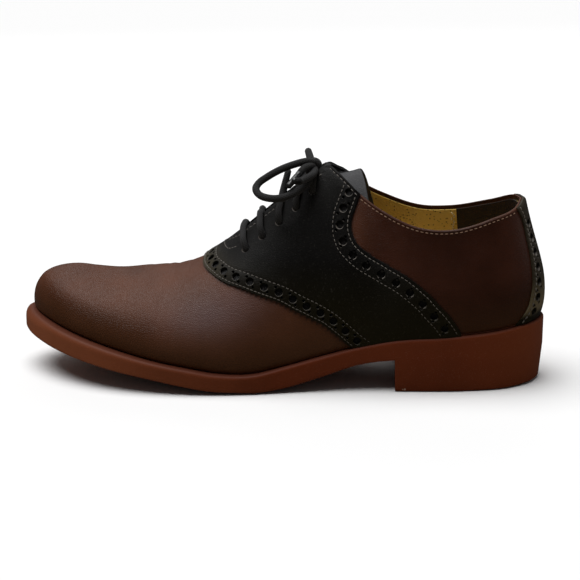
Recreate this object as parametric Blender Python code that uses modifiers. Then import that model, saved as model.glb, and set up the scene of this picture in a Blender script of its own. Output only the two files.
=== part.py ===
# Saddle oxford, left shoe: moulded rubber outsole with heel, insole, hollow leather upper,
# saddle and backstay overlays, tongue, and a round lace tied in a bow.
# All sizes are in millimetres and become metres where each solid is made.
# Stations run from the back of the sole to the toe. Lateral is the outer side, medial the inner.
import bpy
import bmesh
import math
import numpy as np
from mathutils import Vector
from mathutils.geometry import delaunay_2d_cdt

MM = 0.001
LATERAL, MEDIAL = 0, 1
SIDES = (LATERAL, MEDIAL)
UP = np.array((0.0, 0.0, 1.0))

# Sizes
UPPER_WALL = 2.2          # vamp and quarter leather with its lining
OVERLAY = 1.4             # saddle and backstay leather
OVERLAY_GAP = 0.65        # faceted overlays stay this far off the upper
TONGUE_THICK = 1.8
TONGUE_GAP = 1.4
INSOLE_THICK = 3.0
INSOLE_INSET = 3.4
FEATHER_GAP = 0.35        # upper and insole above the top of the outsole
BREAST = 86.8             # station of the front face of the heel
HEEL_FAN, TOE_FAN = 30.0, 250.0   # rows between these stand square to the length
SADDLE_STEP = 6.4         # side of the saddle's triangles
EYELET = 4.4
LACE = 3.8
AGLET = 3.4

# Feather line, where the upper meets the sole: station, lateral y, medial y
FEATHER = np.array((
    (3.6, 2.5, 2.5), (8.8, -11.8, 16.8), (21.0, -22.5, 27.0), (45.0, -29.5, 31.0),
    (78.0, -32.5, 29.5), (110.0, -34.0, 27.0), (145.0, -39.5, 28.0), (175.0, -45.0, 34.5),
    (200.0, -47.0, 41.0), (224.0, -45.5, 44.0), (248.0, -40.0, 43.0), (269.0, -30.5, 37.5),
    (286.0, -17.5, 27.0), (296.6, -4.5, 15.5), (300.0, 5.0, 5.0)))
HEEL_TIP, TOE_TIP = FEATHER[0, 0], FEATHER[-1, 0]

# Outsole: station, underside, upper face, ledge outside the feather line, lift of the bottom edge
SOLE = np.array((
    (0.0, 18.5, 38.0, 3.2, 1.2), (14.0, 18.5, 36.5, 2.5, 0.8), (37.0, 18.5, 33.7, 2.5, 0.3),
    (60.0, 18.5, 31.9, 2.8, 0.2), (84.5, 18.5, 30.2, 3.0, 0.2), (104.0, 15.8, 26.3, 3.0, 0.3),
    (126.0, 8.6, 20.6, 3.0, 0.4), (148.0, 2.2, 14.8, 3.5, 0.6), (163.0, 0.0, 11.4, 4.0, 0.8),
    (186.0, 0.0, 11.8, 4.5, 1.9), (200.0, 1.6, 14.2, 4.8, 2.5), (221.0, 5.3, 17.8, 5.3, 2.8),
    (245.0, 9.5, 22.8, 6.0, 2.4), (269.0, 14.0, 28.0, 6.3, 1.4), (287.0, 17.3, 32.0, 6.1, 0.6),
    (305.0, 20.6, 35.8, 5.3, 0.0)))
SOLE_COLUMNS = ("station", "under", "face", "ledge", "lift")
EDGE_ROUND = 1.2

# Top line by guide. The guide equals the station between the heel and toe fans.
# It follows the collar up to 118 and the crest of instep, vamp and toe from 126.
TOP = np.array((
    (3.6, 15.5, 2.0, 2.0, 106.0, 106.0, 26.0, 4.4, 0.00, 8.0, 34.0),
    (12.0, 18.5, -9.5, 13.5, 103.3, 105.3, 26.0, 4.7, 0.00, 7.4, 32.0),
    (30.0, 33.0, -20.5, 24.0, 98.3, 100.0, 25.0, 5.0, 0.00, 6.0, 28.0),
    (55.0, 56.0, -25.0, 27.0, 92.4, 95.3, 23.0, 4.5, 0.00, 4.0, 24.0),
    (75.0, 75.0, -25.5, 26.0, 94.0, 96.0, 24.0, 3.5, 0.00, 4.5, 24.0),
    (92.0, 92.0, -23.0, 22.5, 101.2, 102.2, 27.0, 3.0, 0.00, 6.0, 24.0),
    (108.0, 108.0, -16.5, 17.0, 111.4, 111.1, 32.0, 2.5, 0.05, 9.0, 22.0),
    (118.0, 118.0, -8.5, 10.0, 120.3, 120.0, 36.0, 2.0, 0.20, 6.0, 15.0),
    (126.0, 126.0, 1.0, 1.0, 127.0, 127.0, 39.0, 1.5, 0.40, 0.0, 9.0),
    (132.0, 132.0, 1.5, 1.5, 123.2, 123.2, 39.0, 1.5, 0.42, 0.0, 7.5),
    (145.0, 145.0, 1.5, 1.5, 111.3, 111.3, 38.0, 2.0, 0.44, 0.0, 6.0),
    (165.0, 165.0, 2.0, 2.0, 92.8, 92.8, 34.0, 3.0, 0.50, 0.0, 4.0),
    (183.0, 183.0, 2.5, 2.5, 76.6, 76.6, 29.0, 4.0, 0.57, 0.0, 1.5),
    (198.0, 198.0, 3.0, 3.0, 67.2, 67.2, 25.0, 4.5, 0.62, 0.0, 0.3),
    (211.0, 211.0, 3.0, 3.0, 62.3, 62.3, 22.0, 4.5, 0.64, 0.0, 0.0),
    (228.0, 228.0, 3.5, 3.5, 60.0, 60.0, 20.0, 4.0, 0.66, 0.0, 0.0),
    (250.0, 246.0, 4.0, 4.0, 57.8, 57.8, 19.0, 3.5, 0.67, 0.0, 0.0),
    (275.0, 258.0, 4.5, 4.5, 58.2, 58.2, 18.0, 3.6, 0.70, 0.0, 0.0),
    (300.0, 263.0, 4.5, 4.5, 59.0, 59.0, 18.0, 2.5, 0.67, 0.0, 0.0)))
TOP_COLUMNS = ("guide", "station", "y_lateral", "y_medial", "z_lateral", "z_medial",
               "wall_up", "wall_out", "crown", "crown_out", "crown_drop")
# The tongue keeps a flatter crest of its own: behind the facings in the same columns as above,
# and under them by a drop of the top line that leaves its crown where it is
TONGUE_TOP = np.array((
    (88.0, 88.0, 1.5, 1.5, 129.0, 129.0, 30.0, 2.0, 0.62, 0.0, 2.0),
    (100.0, 100.0, 1.5, 1.5, 127.2, 127.2, 32.0, 2.0, 0.62, 0.0, 2.0),
    (107.0, 107.0, 1.5, 1.5, 125.2, 125.2, 34.0, 2.0, 0.60, 0.0, 2.3),
    (114.0, 114.0, 1.5, 1.5, 123.1, 123.1, 36.0, 2.0, 0.55, 0.0, 3.0),
    (121.0, 121.0, 1.5, 1.5, 122.2, 122.2, 38.0, 1.5, 0.50, 0.0, 4.0)))
TONGUE_DROP = 0.45        # share of the crown's drop
under_facings = TOP[TOP[:, 0] > 126.5].copy()
under_facings[:, 4:6] -= TONGUE_DROP * under_facings[:, 10:11]
under_facings[:, 10] *= 1 - TONGUE_DROP
under_facings[0, 4:6] -= 0.9
TONGUE_TOP = np.vstack((TONGUE_TOP, under_facings))

# Share of the rise at which the upper stops: below 1 along the throat
THROAT = np.array((
    (3.6, 1.0), (112.0, 1.0), (118.0, 0.985), (126.0, 0.900), (132.0, 0.893), (145.0, 0.905),
    (165.0, 0.922), (174.5, 0.938), (180.5, 1.0), (300.0, 1.0)))

# Saddle edges from sole to top line: rise, guide
SADDLE_FRONT = np.array((
    (0.0, 109.5), (0.088, 118.2), (0.125, 123.0), (0.175, 131.0), (0.245, 141.8), (0.315, 151.0),
    (0.372, 158.8), (0.425, 165.8), (0.487, 173.0), (0.545, 179.4), (0.615, 185.4), (0.688, 189.9),
    (0.738, 192.6), (0.828, 195.8), (0.915, 196.9), (1.0, 197.1)))
SADDLE_BACK = np.array((
    (0.0, 48.3), (0.1, 51.9), (0.2, 56.2), (0.323, 62.5), (0.4, 66.4), (0.44, 69.2), (0.515, 75.3),
    (0.565, 81.5), (0.593, 88.0), (0.608, 93.0), (0.623, 101.5), (0.632, 106.0), (0.645, 109.4),
    (0.67, 111.0), (0.71, 111.6), (0.755, 111.3), (0.845, 109.6), (0.965, 107.2), (1.0, 106.5)))
THROAT_END = 180.5
# Backstay edge: share of the rise, guide
BACKSTAY = np.array(((0.0, 22.0), (0.1, 17.5), (0.25, 15.0), (0.5, 12.7), (0.75, 11.0), (1.0, 10.5)))
# Tongue edge: guide, share of the rise at its side edge
TONGUE_SIDE = np.array(((88.0, 0.52), (110.0, 0.52), (126.0, 0.56), (150.0, 0.62), (192.0, 0.72)))
TONGUE_END_CREST, TONGUE_END_SIDE, TONGUE_FOOT = 109.3, 98.0, 190.0
# Eyelets: guide, share of the rise
EYELETS = ((170.4, 0.765), (161.0, 0.780), (151.6, 0.797), (142.2, 0.815), (133.0, 0.850))


# Smooth curve through the rows of a table
def smooth(xs, ys, x):
    x = np.asarray(x, float)
    gap = np.diff(xs)
    rise = np.diff(ys) / gap
    slope = np.empty(len(xs))
    slope[0], slope[-1] = rise[0], rise[-1]
    slope[1:-1] = (rise[:-1] * gap[1:] + rise[1:] * gap[:-1]) / (gap[1:] + gap[:-1])
    i = np.clip(np.searchsorted(xs, x, side="right") - 1, 0, len(xs) - 2)
    h = gap[i]
    u = (x - xs[i]) / h
    return ((1 + 2 * u) * (1 - u) ** 2 * ys[i] + u * (1 - u) ** 2 * h * slope[i]
            + u * u * (3 - 2 * u) * ys[i + 1] + u * u * (u - 1) * h * slope[i + 1])


def sole(column, station):
    return smooth(SOLE[:, 0], SOLE[:, SOLE_COLUMNS.index(column)], station)


def top(column, guide, table):
    return smooth(table[:, 0], table[:, TOP_COLUMNS.index(column)], guide)


def throat(guide):
    return np.interp(guide, THROAT[:, 0], THROAT[:, 1])


def lengths(points):
    return np.concatenate(((0.0,), np.cumsum(np.linalg.norm(np.diff(points, axis=0), axis=1))))


# Feather outline as one closed smooth curve, split into its lateral and medial halves
def half_outlines():
    loop = np.vstack((FEATHER[:, (0, 1)], FEATHER[::-1][1:, (0, 2)]))
    wrapped = np.vstack((loop[-4:-1], loop, loop[1:4]))
    chord = lengths(wrapped)
    n = len(FEATHER) - 1
    halves = []
    for first, last in ((3, 3 + n), (3 + n, 3 + 2 * n)):
        u = np.linspace(chord[first], chord[last], 500)
        halves.append(np.stack((smooth(chord, wrapped[:, 0], u), smooth(chord, wrapped[:, 1], u)), 1))
    return halves[0], halves[1][::-1]


OUTLINE = half_outlines()
RUN = [lengths(half) for half in OUTLINE]


# Length along the outline for a guide: even steps in the heel and toe fans, stations between
def run_at(side, guide):
    guide = np.asarray(guide, float)
    stations = np.maximum.accumulate(OUTLINE[side][:, 0])
    heel, toe = np.interp((HEEL_FAN, TOE_FAN), stations, RUN[side])
    full = RUN[side][-1]
    middle = np.interp(np.clip(guide, HEEL_FAN, TOE_FAN), stations, RUN[side])
    in_heel = heel * (guide - HEEL_TIP) / (HEEL_FAN - HEEL_TIP)
    in_toe = toe + (full - toe) * (guide - TOE_FAN) / (TOE_TIP - TOE_FAN)
    return np.where(guide < HEEL_FAN, in_heel, np.where(guide > TOE_FAN, in_toe, middle))


def outline(side, guide):
    at = run_at(side, guide)
    return np.stack([np.interp(at, RUN[side], OUTLINE[side][:, k]) for k in (0, 1)], -1)


def outward(side, guide):
    at = run_at(side, guide)
    full = RUN[side][-1]
    ends = [np.clip(at + step, 0.0, full) for step in (-1.5, 1.5)]
    a, b = [np.stack([np.interp(e, RUN[side], OUTLINE[side][:, k]) for k in (0, 1)], -1) for e in ends]
    along = (b - a) / np.linalg.norm(b - a, axis=-1, keepdims=True)
    normal = np.stack((along[..., 1], -along[..., 0]), -1)
    if side == MEDIAL:
        normal = -normal
    normal = np.where((at < 1e-6)[..., None], np.array((-1.0, 0.0)), normal)
    return np.where((at > full - 1e-6)[..., None], np.array((1.0, 0.0)), normal)


# The last: each profile rises from the feather line to the top line as one cubic curve
def last(side, guide, rise, table=TOP):
    guide, rise = np.broadcast_arrays(np.asarray(guide, float), np.asarray(rise, float))
    plan = outline(side, guide)
    flat_out = outward(side, guide)
    foot = np.concatenate((plan, (sole("face", plan[..., 0]) + FEATHER_GAP)[..., None]), -1)
    out = np.concatenate((flat_out, np.zeros(guide.shape + (1,))), -1)
    side_name = "_lateral" if side == LATERAL else "_medial"
    crest = np.stack((top("station", guide, table), top("y" + side_name, guide, table),
                      top("z" + side_name, guide, table)), -1)
    wall = foot + out * top("wall_out", guide, table)[..., None] + UP * top("wall_up", guide, table)[..., None]
    across = foot - crest
    across[..., 2] = 0.0
    share = top("crown", guide, table)
    crown = (crest + across * share[..., None] + out * top("crown_out", guide, table)[..., None]
             - UP * top("crown_drop", guide, table)[..., None])
    # the crown leans along the crest where the rows fan out round the toe
    climb = ((top("z_lateral", guide + 0.5, table) - top("z_lateral", guide - 0.5, table))
             / (top("station", guide + 0.5, table) - top("station", guide - 0.5, table)))
    crown[..., 2] += np.clip((guide - 130.0) / 40.0, 0.0, 1.0) * climb * share * across[..., 0]
    v = rise[..., None]
    return (1 - v) ** 3 * foot + 3 * v * (1 - v) ** 2 * wall + 3 * v * v * (1 - v) * crown + v ** 3 * crest


# Sheets: patches of points and faces welded into one open surface
def weld(patches):
    index, points, faces = {}, [], []
    for patch, patch_faces in patches:
        ids = []
        for p in patch:
            key = tuple(np.round(p, 3) + 0.0)
            if key not in index:
                index[key] = len(points)
                points.append(p)
            ids.append(index[key])
        for loop in patch_faces:
            loop = [ids[v] for v in loop]
            face = [v for k, v in enumerate(loop) if v != loop[k - 1]]
            if len(set(face)) >= 3:
                faces.append(face)
    return np.array(points), faces


def grid_faces(rows, columns):
    corner = [(i, j) for i in range(rows - 1) for j in range(columns - 1)]
    return [(i * columns + j, (i + 1) * columns + j, (i + 1) * columns + j + 1, i * columns + j + 1)
            for i, j in corner]


def normals(points, faces):
    total = np.zeros_like(points)
    for face in faces:
        p = points[face]
        area = sum(np.cross(p[k] - p[0], p[k + 1] - p[0]) for k in range(1, len(p) - 1))
        total[face] += area
    return total / np.linalg.norm(total, axis=1, keepdims=True)


# The outer face of a leather piece, lifted off the last; its thickness is given later
def sheet(patches, lift=0.0):
    points, faces = weld(patches)
    return points + normals(points, faces) * lift, faces


# Lateral and medial patches of one panel; the medial faces are turned so that both look outward
def both_sides(guide, rise, faces, table=TOP):
    patches = []
    for side in SIDES:
        turned = faces if side == LATERAL else [loop[::-1] for loop in faces]
        patches.append((last(side, guide, rise, table).reshape(-1, 3), turned))
    return patches


def grid_panel(guide, rise, table=TOP):
    guide, rise = np.broadcast_arrays(guide, rise)
    return both_sides(guide, rise, grid_faces(*guide.shape), table)


# A panel cut along a closed outline of guide and rise, filled with even triangles
RISE_SPAN = 100.0         # a profile's length, so that one unit is about a millimetre both ways


def cut_panel(corners, step):
    loop = []
    for run in corners:
        run = np.array(run) * (1.0, RISE_SPAN)
        chord = lengths(run)
        even = np.linspace(0.0, chord[-1], max(2, int(round(chord[-1] / step)) + 1))[:-1]
        loop += list(zip(np.interp(even, chord, run[:, 0]), np.interp(even, chord, run[:, 1])))
    loop = np.array(loop)
    low, high = loop.min(axis=0), loop.max(axis=0)
    inside = []
    for row, v in enumerate(np.arange(low[1], high[1], step * 0.866)):
        for u in np.arange(low[0] + step / 2 * (row % 2), high[0], step):
            if np.min(np.hypot(loop[:, 0] - u, loop[:, 1] - v)) > 0.6 * step:
                inside.append((u, v))
    edges = [(k, (k + 1) % len(loop)) for k in range(len(loop))]
    flat = [Vector(p) for p in loop.tolist() + inside]
    points, _, faces, *_ = delaunay_2d_cdt(flat, edges, [], 1, 1e-5)
    kept = sorted({v for loop in faces for v in loop})
    place = {v: k for k, v in enumerate(kept)}
    flat = np.array([tuple(points[v]) for v in kept])
    return both_sides(flat[:, 0], flat[:, 1] / RISE_SPAN, [[place[v] for v in loop] for loop in faces])


SOLIDS = {}

# Upper: rows close together in the fans and round the throat, columns from feather to top line
rows = np.concatenate((np.linspace(HEEL_TIP, HEEL_FAN, 7), np.linspace(HEEL_FAN, 108.0, 9)[1:],
                       np.linspace(108.0, 132.0, 7)[1:], np.linspace(132.0, 174.5, 8)[1:],
                       (177.5, 180.5, 186.0), np.linspace(186.0, TOE_FAN, 8)[1:],
                       np.linspace(TOE_FAN, TOE_TIP, 9)[1:]))
columns = np.array((0.0, 0.09, 0.19, 0.30, 0.41, 0.52, 0.63, 0.75, 0.87, 1.0))
SOLIDS["upper"] = sheet(grid_panel(rows[:, None], columns[None, :] * throat(rows)[:, None]))

# Saddle: front edge, crest before the throat, facing, rear edge and foot, one piece across the vamp
def edge_path(table):
    chord = lengths(table * (RISE_SPAN, 1.0))
    even = np.linspace(0.0, chord[-1], 80)
    return np.stack((smooth(chord, table[:, 1], even), smooth(chord, table[:, 0], even)), 1)


front, back = edge_path(SADDLE_FRONT), edge_path(SADDLE_BACK)
facings = [np.linspace(a, b, 20) for a, b in ((THROAT_END, 126.0), (126.0, 118.0), (118.0, back[-1, 0]))]
SOLIDS["saddle"] = sheet(cut_panel((
    np.stack((np.linspace(back[0, 0], front[0, 0], 20), np.zeros(20)), 1),
    front, (front[-1], (THROAT_END, 1.0)),
    *[np.stack((guide, throat(guide)), 1) for guide in facings],
    back[::-1]), SADDLE_STEP), OVERLAY_GAP + OVERLAY)

# Backstay: strip down the back of the heel, flared at the sole
rise = np.linspace(0.012, 1.0, 13)
edge = smooth(BACKSTAY[:, 0], BACKSTAY[:, 1], rise)
blend = np.linspace(0.0, 1.0, 5)[:, None]
backstay_guide = HEEL_TIP + (edge - HEEL_TIP) * blend
SOLIDS["backstay"] = sheet(grid_panel(backstay_guide, rise[None, :]), OVERLAY_GAP + OVERLAY)

# Tongue: under the facings, its free end standing back over the collar
side_run = np.array((0.0, 0.2, 0.4, 0.58, 0.77, 1.0))
ends = TONGUE_END_SIDE + (TONGUE_END_CREST - TONGUE_END_SIDE) * side_run
blend = np.linspace(0.0, 1.0, 17)[:, None]
tongue_guide = ends + (TONGUE_FOOT - ends) * blend
tongue_edge = np.interp(tongue_guide, TONGUE_SIDE[:, 0], TONGUE_SIDE[:, 1])
tongue_rise = tongue_edge + (1.0 - tongue_edge) * side_run
SOLIDS["tongue"] = sheet(grid_panel(tongue_guide, tongue_rise, TONGUE_TOP), -UPPER_WALL - TONGUE_GAP)


# Closed loft: one ring of points for each row, lateral side then medial
def ring_points(side, guide, inset, height):
    plan = outline(side, guide)
    ledge = sole("ledge", plan[0])
    flat = plan + outward(side, guide) * (ledge - inset)
    return np.array((flat[0], flat[1], height(flat[0])))


def loft(sections):
    rings = [np.array([ring_points(LATERAL, g, i, h) for i, h in ring]
                      + [ring_points(MEDIAL, g, i, h) for i, h in ring[::-1]]
                      + [ring_points(LATERAL, g, *ring[0])]) for g, ring in sections]
    return weld([(np.concatenate(rings), grid_faces(len(rings), len(rings[0])))])


# Outsole: heel rows reach the floor, the others follow the arch, ball and toe spring
def face(s):
    return float(sole("face", s))


def under(s):
    return max(0.0, float(sole("under", s)))


def edge_height(s):
    return under(s) + float(sole("lift", s))


def heel_ring(guide):
    taper = float(np.interp(guide, (HEEL_TIP, HEEL_FAN, BREAST), (1.6, 1.4, 0.9)))
    return ((taper + 7.0, lambda s: 0.0),
            (taper + EDGE_ROUND, lambda s: float(sole("lift", s))),
            (taper, lambda s: float(sole("lift", s)) + EDGE_ROUND),
            (0.0, lambda s: edge_height(s) + EDGE_ROUND),
            (0.0, lambda s: face(s) - EDGE_ROUND),
            (EDGE_ROUND, face))


def waist_ring(guide):
    return ((13.0, under),
            (EDGE_ROUND, edge_height),
            (0.0, lambda s: edge_height(s) + EDGE_ROUND),
            (0.0, lambda s: edge_height(s) + EDGE_ROUND),
            (0.0, lambda s: face(s) - EDGE_ROUND),
            (EDGE_ROUND, face))


heel_rows = np.concatenate((np.linspace(HEEL_TIP, HEEL_FAN, 9), np.linspace(HEEL_FAN, BREAST, 6)[1:]))
waist_rows = np.concatenate((np.linspace(BREAST, 163.0, 10), np.linspace(163.0, 186.0, 4)[1:],
                             np.linspace(186.0, TOE_FAN, 8)[1:], np.linspace(TOE_FAN, TOE_TIP, 11)[1:]))
SOLIDS["outsole"] = loft([(g, heel_ring(g)) for g in heel_rows] + [(g, waist_ring(g)) for g in waist_rows])


# Insole: board inside the foot of the upper
def insole_ring(guide):
    inset = float(sole("ledge", outline(LATERAL, guide)[0])) + INSOLE_INSET
    low, high = FEATHER_GAP, FEATHER_GAP + INSOLE_THICK
    return ((inset, lambda s: face(s) + low), (inset, lambda s: face(s) + high - 0.8),
            (inset + 0.8, lambda s: face(s) + high))


insole_rows = np.concatenate((np.linspace(HEEL_TIP, HEEL_FAN, 7), np.linspace(HEEL_FAN, TOE_FAN, 21)[1:],
                              np.linspace(TOE_FAN, TOE_TIP, 9)[1:]))
SOLIDS["insole"] = loft([(g, insole_ring(g)) for g in insole_rows])

# The row frame: heel toward +X, lateral side toward -Y, sole on z = 0, box centred over the origin
everything = np.vstack([points for points, faces in SOLIDS.values()])
middle = (everything.min(axis=0) + everything.max(axis=0)) / 2


def to_frame(points):
    p = np.atleast_2d(np.asarray(points, float))
    return np.stack((middle[0] - p[:, 0], p[:, 1] - middle[1], p[:, 2]), 1) * MM


# Scene, collections and materials
for thing in list(bpy.data.objects):
    bpy.data.objects.remove(thing, do_unlink=True)
scene = bpy.context.scene
scene.unit_settings.system = "METRIC"
SHOE = bpy.data.collections.new("saddle_oxford")
CUTTERS = bpy.data.collections.new("cutters")
for collection in (SHOE, CUTTERS):
    scene.collection.children.link(collection)


def material(name, colour, roughness):
    made = bpy.data.materials.new(name)
    made.use_nodes = True
    shader = made.node_tree.nodes["Principled BSDF"]
    shader.inputs["Base Color"].default_value = (*colour, 1.0)
    shader.inputs["Roughness"].default_value = roughness
    return made


MATERIALS = {
    "brick_rubber": material("brick_rubber", (0.16, 0.045, 0.03), 0.55),
    "insole_leather": material("insole_leather", (0.25, 0.15, 0.04), 0.6),
    "brown_leather": material("brown_leather", (0.075, 0.03, 0.02), 0.35),
    "black_leather": material("black_leather", (0.012, 0.012, 0.013), 0.35),
    "black_backstay": material("black_backstay", (0.012, 0.012, 0.013), 0.35),
    "tongue_leather": material("tongue_leather", (0.03, 0.03, 0.032), 0.5),
    "black_lace": material("black_lace", (0.015, 0.015, 0.016), 0.75),
    "aglet_plastic": material("aglet_plastic", (0.01, 0.01, 0.011), 0.25)}


def finish(obj, slot):
    obj.data.materials.clear()
    obj.data.materials.append(MATERIALS[slot])
    obj.data.shade_smooth()
    obj.data.set_sharp_from_angle(angle=math.radians(40.0))


# A closed loft, or a leather sheet that gets its thickness inward from its outer face
def solid(name, slot, points, faces, thick=None):
    mesh = bpy.data.meshes.new(name)
    mesh.from_pydata([tuple(p) for p in to_frame(points)], [], [[int(v) for v in f] for f in faces])
    shape = bmesh.new()
    shape.from_mesh(mesh)
    if thick is None:
        bmesh.ops.recalc_face_normals(shape, faces=shape.faces)
    else:
        bmesh.ops.reverse_faces(shape, faces=shape.faces)
    shape.to_mesh(mesh)
    shape.free()
    obj = bpy.data.objects.new(name, mesh)
    SHOE.objects.link(obj)
    finish(obj, slot)
    if thick is not None:
        wall = obj.modifiers.new("thickness", "SOLIDIFY")
        wall.thickness = thick * MM
        wall.offset = -1.0
    return obj


def cut(obj, tool, operation="DIFFERENCE"):
    step = obj.modifiers.new(operation.lower() + "_" + tool.name, "BOOLEAN")
    step.operation = operation
    step.solver = "EXACT"
    step.object = tool


SLOTS = {"upper": "brown_leather", "saddle": "black_leather", "backstay": "black_backstay",
         "tongue": "tongue_leather", "outsole": "brick_rubber", "insole": "insole_leather"}
THICK = {"upper": UPPER_WALL, "saddle": OVERLAY, "backstay": OVERLAY, "tongue": TONGUE_THICK}
PARTS = {name: solid(name, SLOTS[name], *SOLIDS[name], THICK.get(name)) for name in SOLIDS}


# Point and outward direction on the saddle for a guide, a share of the rise and a height above it
def on_saddle(side, guide, share, above=0.0, table=TOP, stop=throat):
    step = 0.4
    at = lambda g, c: last(side, g, c * stop(g), table)
    p = at(guide, share)
    along = at(guide + step, share) - at(guide - step, share)
    up = at(guide, share) - at(guide, share - 0.01)
    out = np.cross(along, up) if side == LATERAL else np.cross(up, along)
    out = out / np.linalg.norm(out)
    return p + out * (OVERLAY_GAP + OVERLAY + above), out


# Eyelet holes through saddle and upper
for side in SIDES:
    for number, (guide, share) in enumerate(EYELETS):
        centre, out = on_saddle(side, guide, share)
        mesh = bpy.data.meshes.new("eyelet_cutter")
        shape = bmesh.new()
        bmesh.ops.create_cone(shape, cap_ends=True, segments=12, radius1=EYELET / 2 * MM,
                              radius2=EYELET / 2 * MM, depth=14.0 * MM)
        shape.to_mesh(mesh)
        shape.free()
        tool = bpy.data.objects.new("eyelet_cutter_%d_%d" % (side, number), mesh)
        CUTTERS.objects.link(tool)
        tool.location = to_frame(centre)[0]
        aim = np.array((-out[0], out[1], out[2]))
        tilt = math.acos(max(-1.0, min(1.0, aim[2])))
        tool.rotation_euler = (0.0, tilt, math.atan2(aim[1], aim[0]))
        tool.hide_render = True
        tool.display_type = "WIRE"
        cut(PARTS["saddle"], tool)
        cut(PARTS["upper"], tool)


# Round cord through a row of points
def cord(name, slot, points, diameter, collection=SHOE):
    line = bpy.data.curves.new(name + "_line", "CURVE")
    line.dimensions = "3D"
    line.bevel_depth = diameter / 2 * MM
    line.bevel_resolution = 2
    line.use_fill_caps = True
    spline = line.splines.new("POLY")
    path = to_frame(points)
    spline.points.add(len(path) - 1)
    for knot, p in zip(spline.points, path):
        knot.co = (*p, 1.0)
    wire = bpy.data.objects.new(name + "_wire", line)
    scene.collection.objects.link(wire)
    bpy.context.view_layer.update()
    seen = wire.evaluated_get(bpy.context.evaluated_depsgraph_get())
    mesh = bpy.data.meshes.new_from_object(seen)
    bpy.data.objects.remove(wire, do_unlink=True)
    shape = bmesh.new()
    shape.from_mesh(mesh)
    bmesh.ops.remove_doubles(shape, verts=shape.verts, dist=0.00001)
    bmesh.ops.recalc_face_normals(shape, faces=shape.faces)
    bmesh.ops.triangulate(shape, faces=shape.faces)
    shape.to_mesh(mesh)
    shape.free()
    mesh.name = name
    obj = bpy.data.objects.new(name, mesh)
    collection.objects.link(obj)
    finish(obj, slot)
    return obj


# Even points on a smooth path through a few stations of a cord
def path_through(stops, spacing):
    stops = np.array(stops, float)
    chord = lengths(stops)
    fine = np.linspace(0.0, chord[-1], 400)
    dense = np.stack([smooth(chord, stops[:, k], fine) for k in range(3)], 1)
    length = lengths(dense)
    even = np.linspace(0.0, length[-1], max(4, int(round(length[-1] / spacing)) + 1))
    return np.stack([np.interp(even, length, dense[:, k]) for k in range(3)], 1)


# Lacing: straight bars over the throat at the first four eyelets, each bearing on both facing edges.
# What joins the bars is hidden under the facings in the real shoe; here it runs along the medial eyelets.
LACE_CLEAR = 0.9 + LACE / 2
BARS = ((2.2, 0.3), (1.6, 0.3), (0.4, 10.5), (-1.6, 0.3))     # lean toward the toe, slack over the throat


def bar_path(number):
    (guide, share), (lean, slack) = EYELETS[number], BARS[number]
    holes = [on_saddle(side, guide, share, LACE_CLEAR)[0] for side in SIDES]
    edges = [on_saddle(side, guide + lean, 1.0, LACE_CLEAR)[0] for side in SIDES]
    over = (edges[0] + edges[1]) / 2 + UP * slack
    return path_through((holes[0], edges[0], over, edges[1], holes[1]), 5.0)


far_run = path_through([on_saddle(MEDIAL, guide, share, LACE_CLEAR)[0] for guide, share in EYELETS], 5.0)
crossings = cord("lace_crossings", "black_lace", far_run, LACE)
for number in range(len(BARS)):
    bar = cord("lace_bar_%d" % (number + 1), "black_lace", bar_path(number), LACE, CUTTERS)
    bar.hide_render = True
    bar.display_type = "WIRE"
    cut(crossings, bar, "UNION")

# Bow: knot over the top of the throat, a loop to either side and the two free ends
KNOT = np.array((132.5, 0.6, 122.9))
KNOT_SIZE = (4.4, 4.4, 4.1)
mesh = bpy.data.meshes.new("lace_knot")
shape = bmesh.new()
bmesh.ops.create_uvsphere(shape, u_segments=14, v_segments=8, radius=MM)
bmesh.ops.scale(shape, vec=KNOT_SIZE, verts=shape.verts)
bmesh.ops.translate(shape, vec=to_frame(KNOT)[0], verts=shape.verts)
bmesh.ops.triangulate(shape, faces=shape.faces)
shape.to_mesh(mesh)
shape.free()
knot = bpy.data.objects.new("lace_knot", mesh)
SHOE.objects.link(knot)
finish(knot, "black_lace")

LOOP_NEAR = ((135.8, -5.2, 125.9), (137.9, -6.5, 126.1), (142.8, -9.0, 125.3), (149.9, -11.5, 123.1),
             (158.7, -14.5, 118.7), (164.0, -18.0, 115.0), (164.9, -21.5, 112.9), (162.7, -25.0, 110.5),
             (156.4, -28.0, 109.1), (150.0, -27.5, 109.3), (142.7, -23.5, 111.7), (137.9, -17.5, 114.1),
             (134.9, -10.8, 117.5), (134.2, -8.8, 119.8))
LOOP_FAR = ((135.9, 7.2, 125.5), (136.8, 9.0, 126.3), (138.0, 14.0, 127.9), (138.3, 18.0, 127.3),
            (138.3, 23.0, 124.8), (138.0, 28.0, 120.3), (137.7, 32.0, 114.8), (137.8, 33.6, 109.0),
            (138.2, 31.0, 105.6), (138.4, 26.0, 106.4), (138.4, 20.0, 110.4), (138.0, 14.5, 115.3),
            (137.3, 10.8, 118.6))
END_NEAR = ((136.9, -9.5, 123.4), (138.3, -12.0, 123.2), (141.4, -17.0, 121.6))
END_FAR = ((132.9, -15.0, 120.1), (134.2, -18.0, 119.6), (137.5, -26.0, 119.2))
cord("lace_loop_near", "black_lace", path_through(LOOP_NEAR, 6.0), LACE)
cord("lace_loop_far", "black_lace", path_through(LOOP_FAR, 6.0), LACE)
near_end = path_through(END_NEAR, 4.0)
far_end = path_through(END_FAR, 4.0)
cord("lace_end_near", "black_lace", near_end, LACE)
cord("lace_end_far", "black_lace", far_end, LACE)
for name, tail in (("aglet_near", near_end), ("aglet_far", far_end)):
    onward = (tail[-1] - tail[-2]) / np.linalg.norm(tail[-1] - tail[-2])
    cord(name, "aglet_plastic", [tail[-1] + onward * reach for reach in (0.3, 6.0, 12.0)], AGLET)
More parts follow.
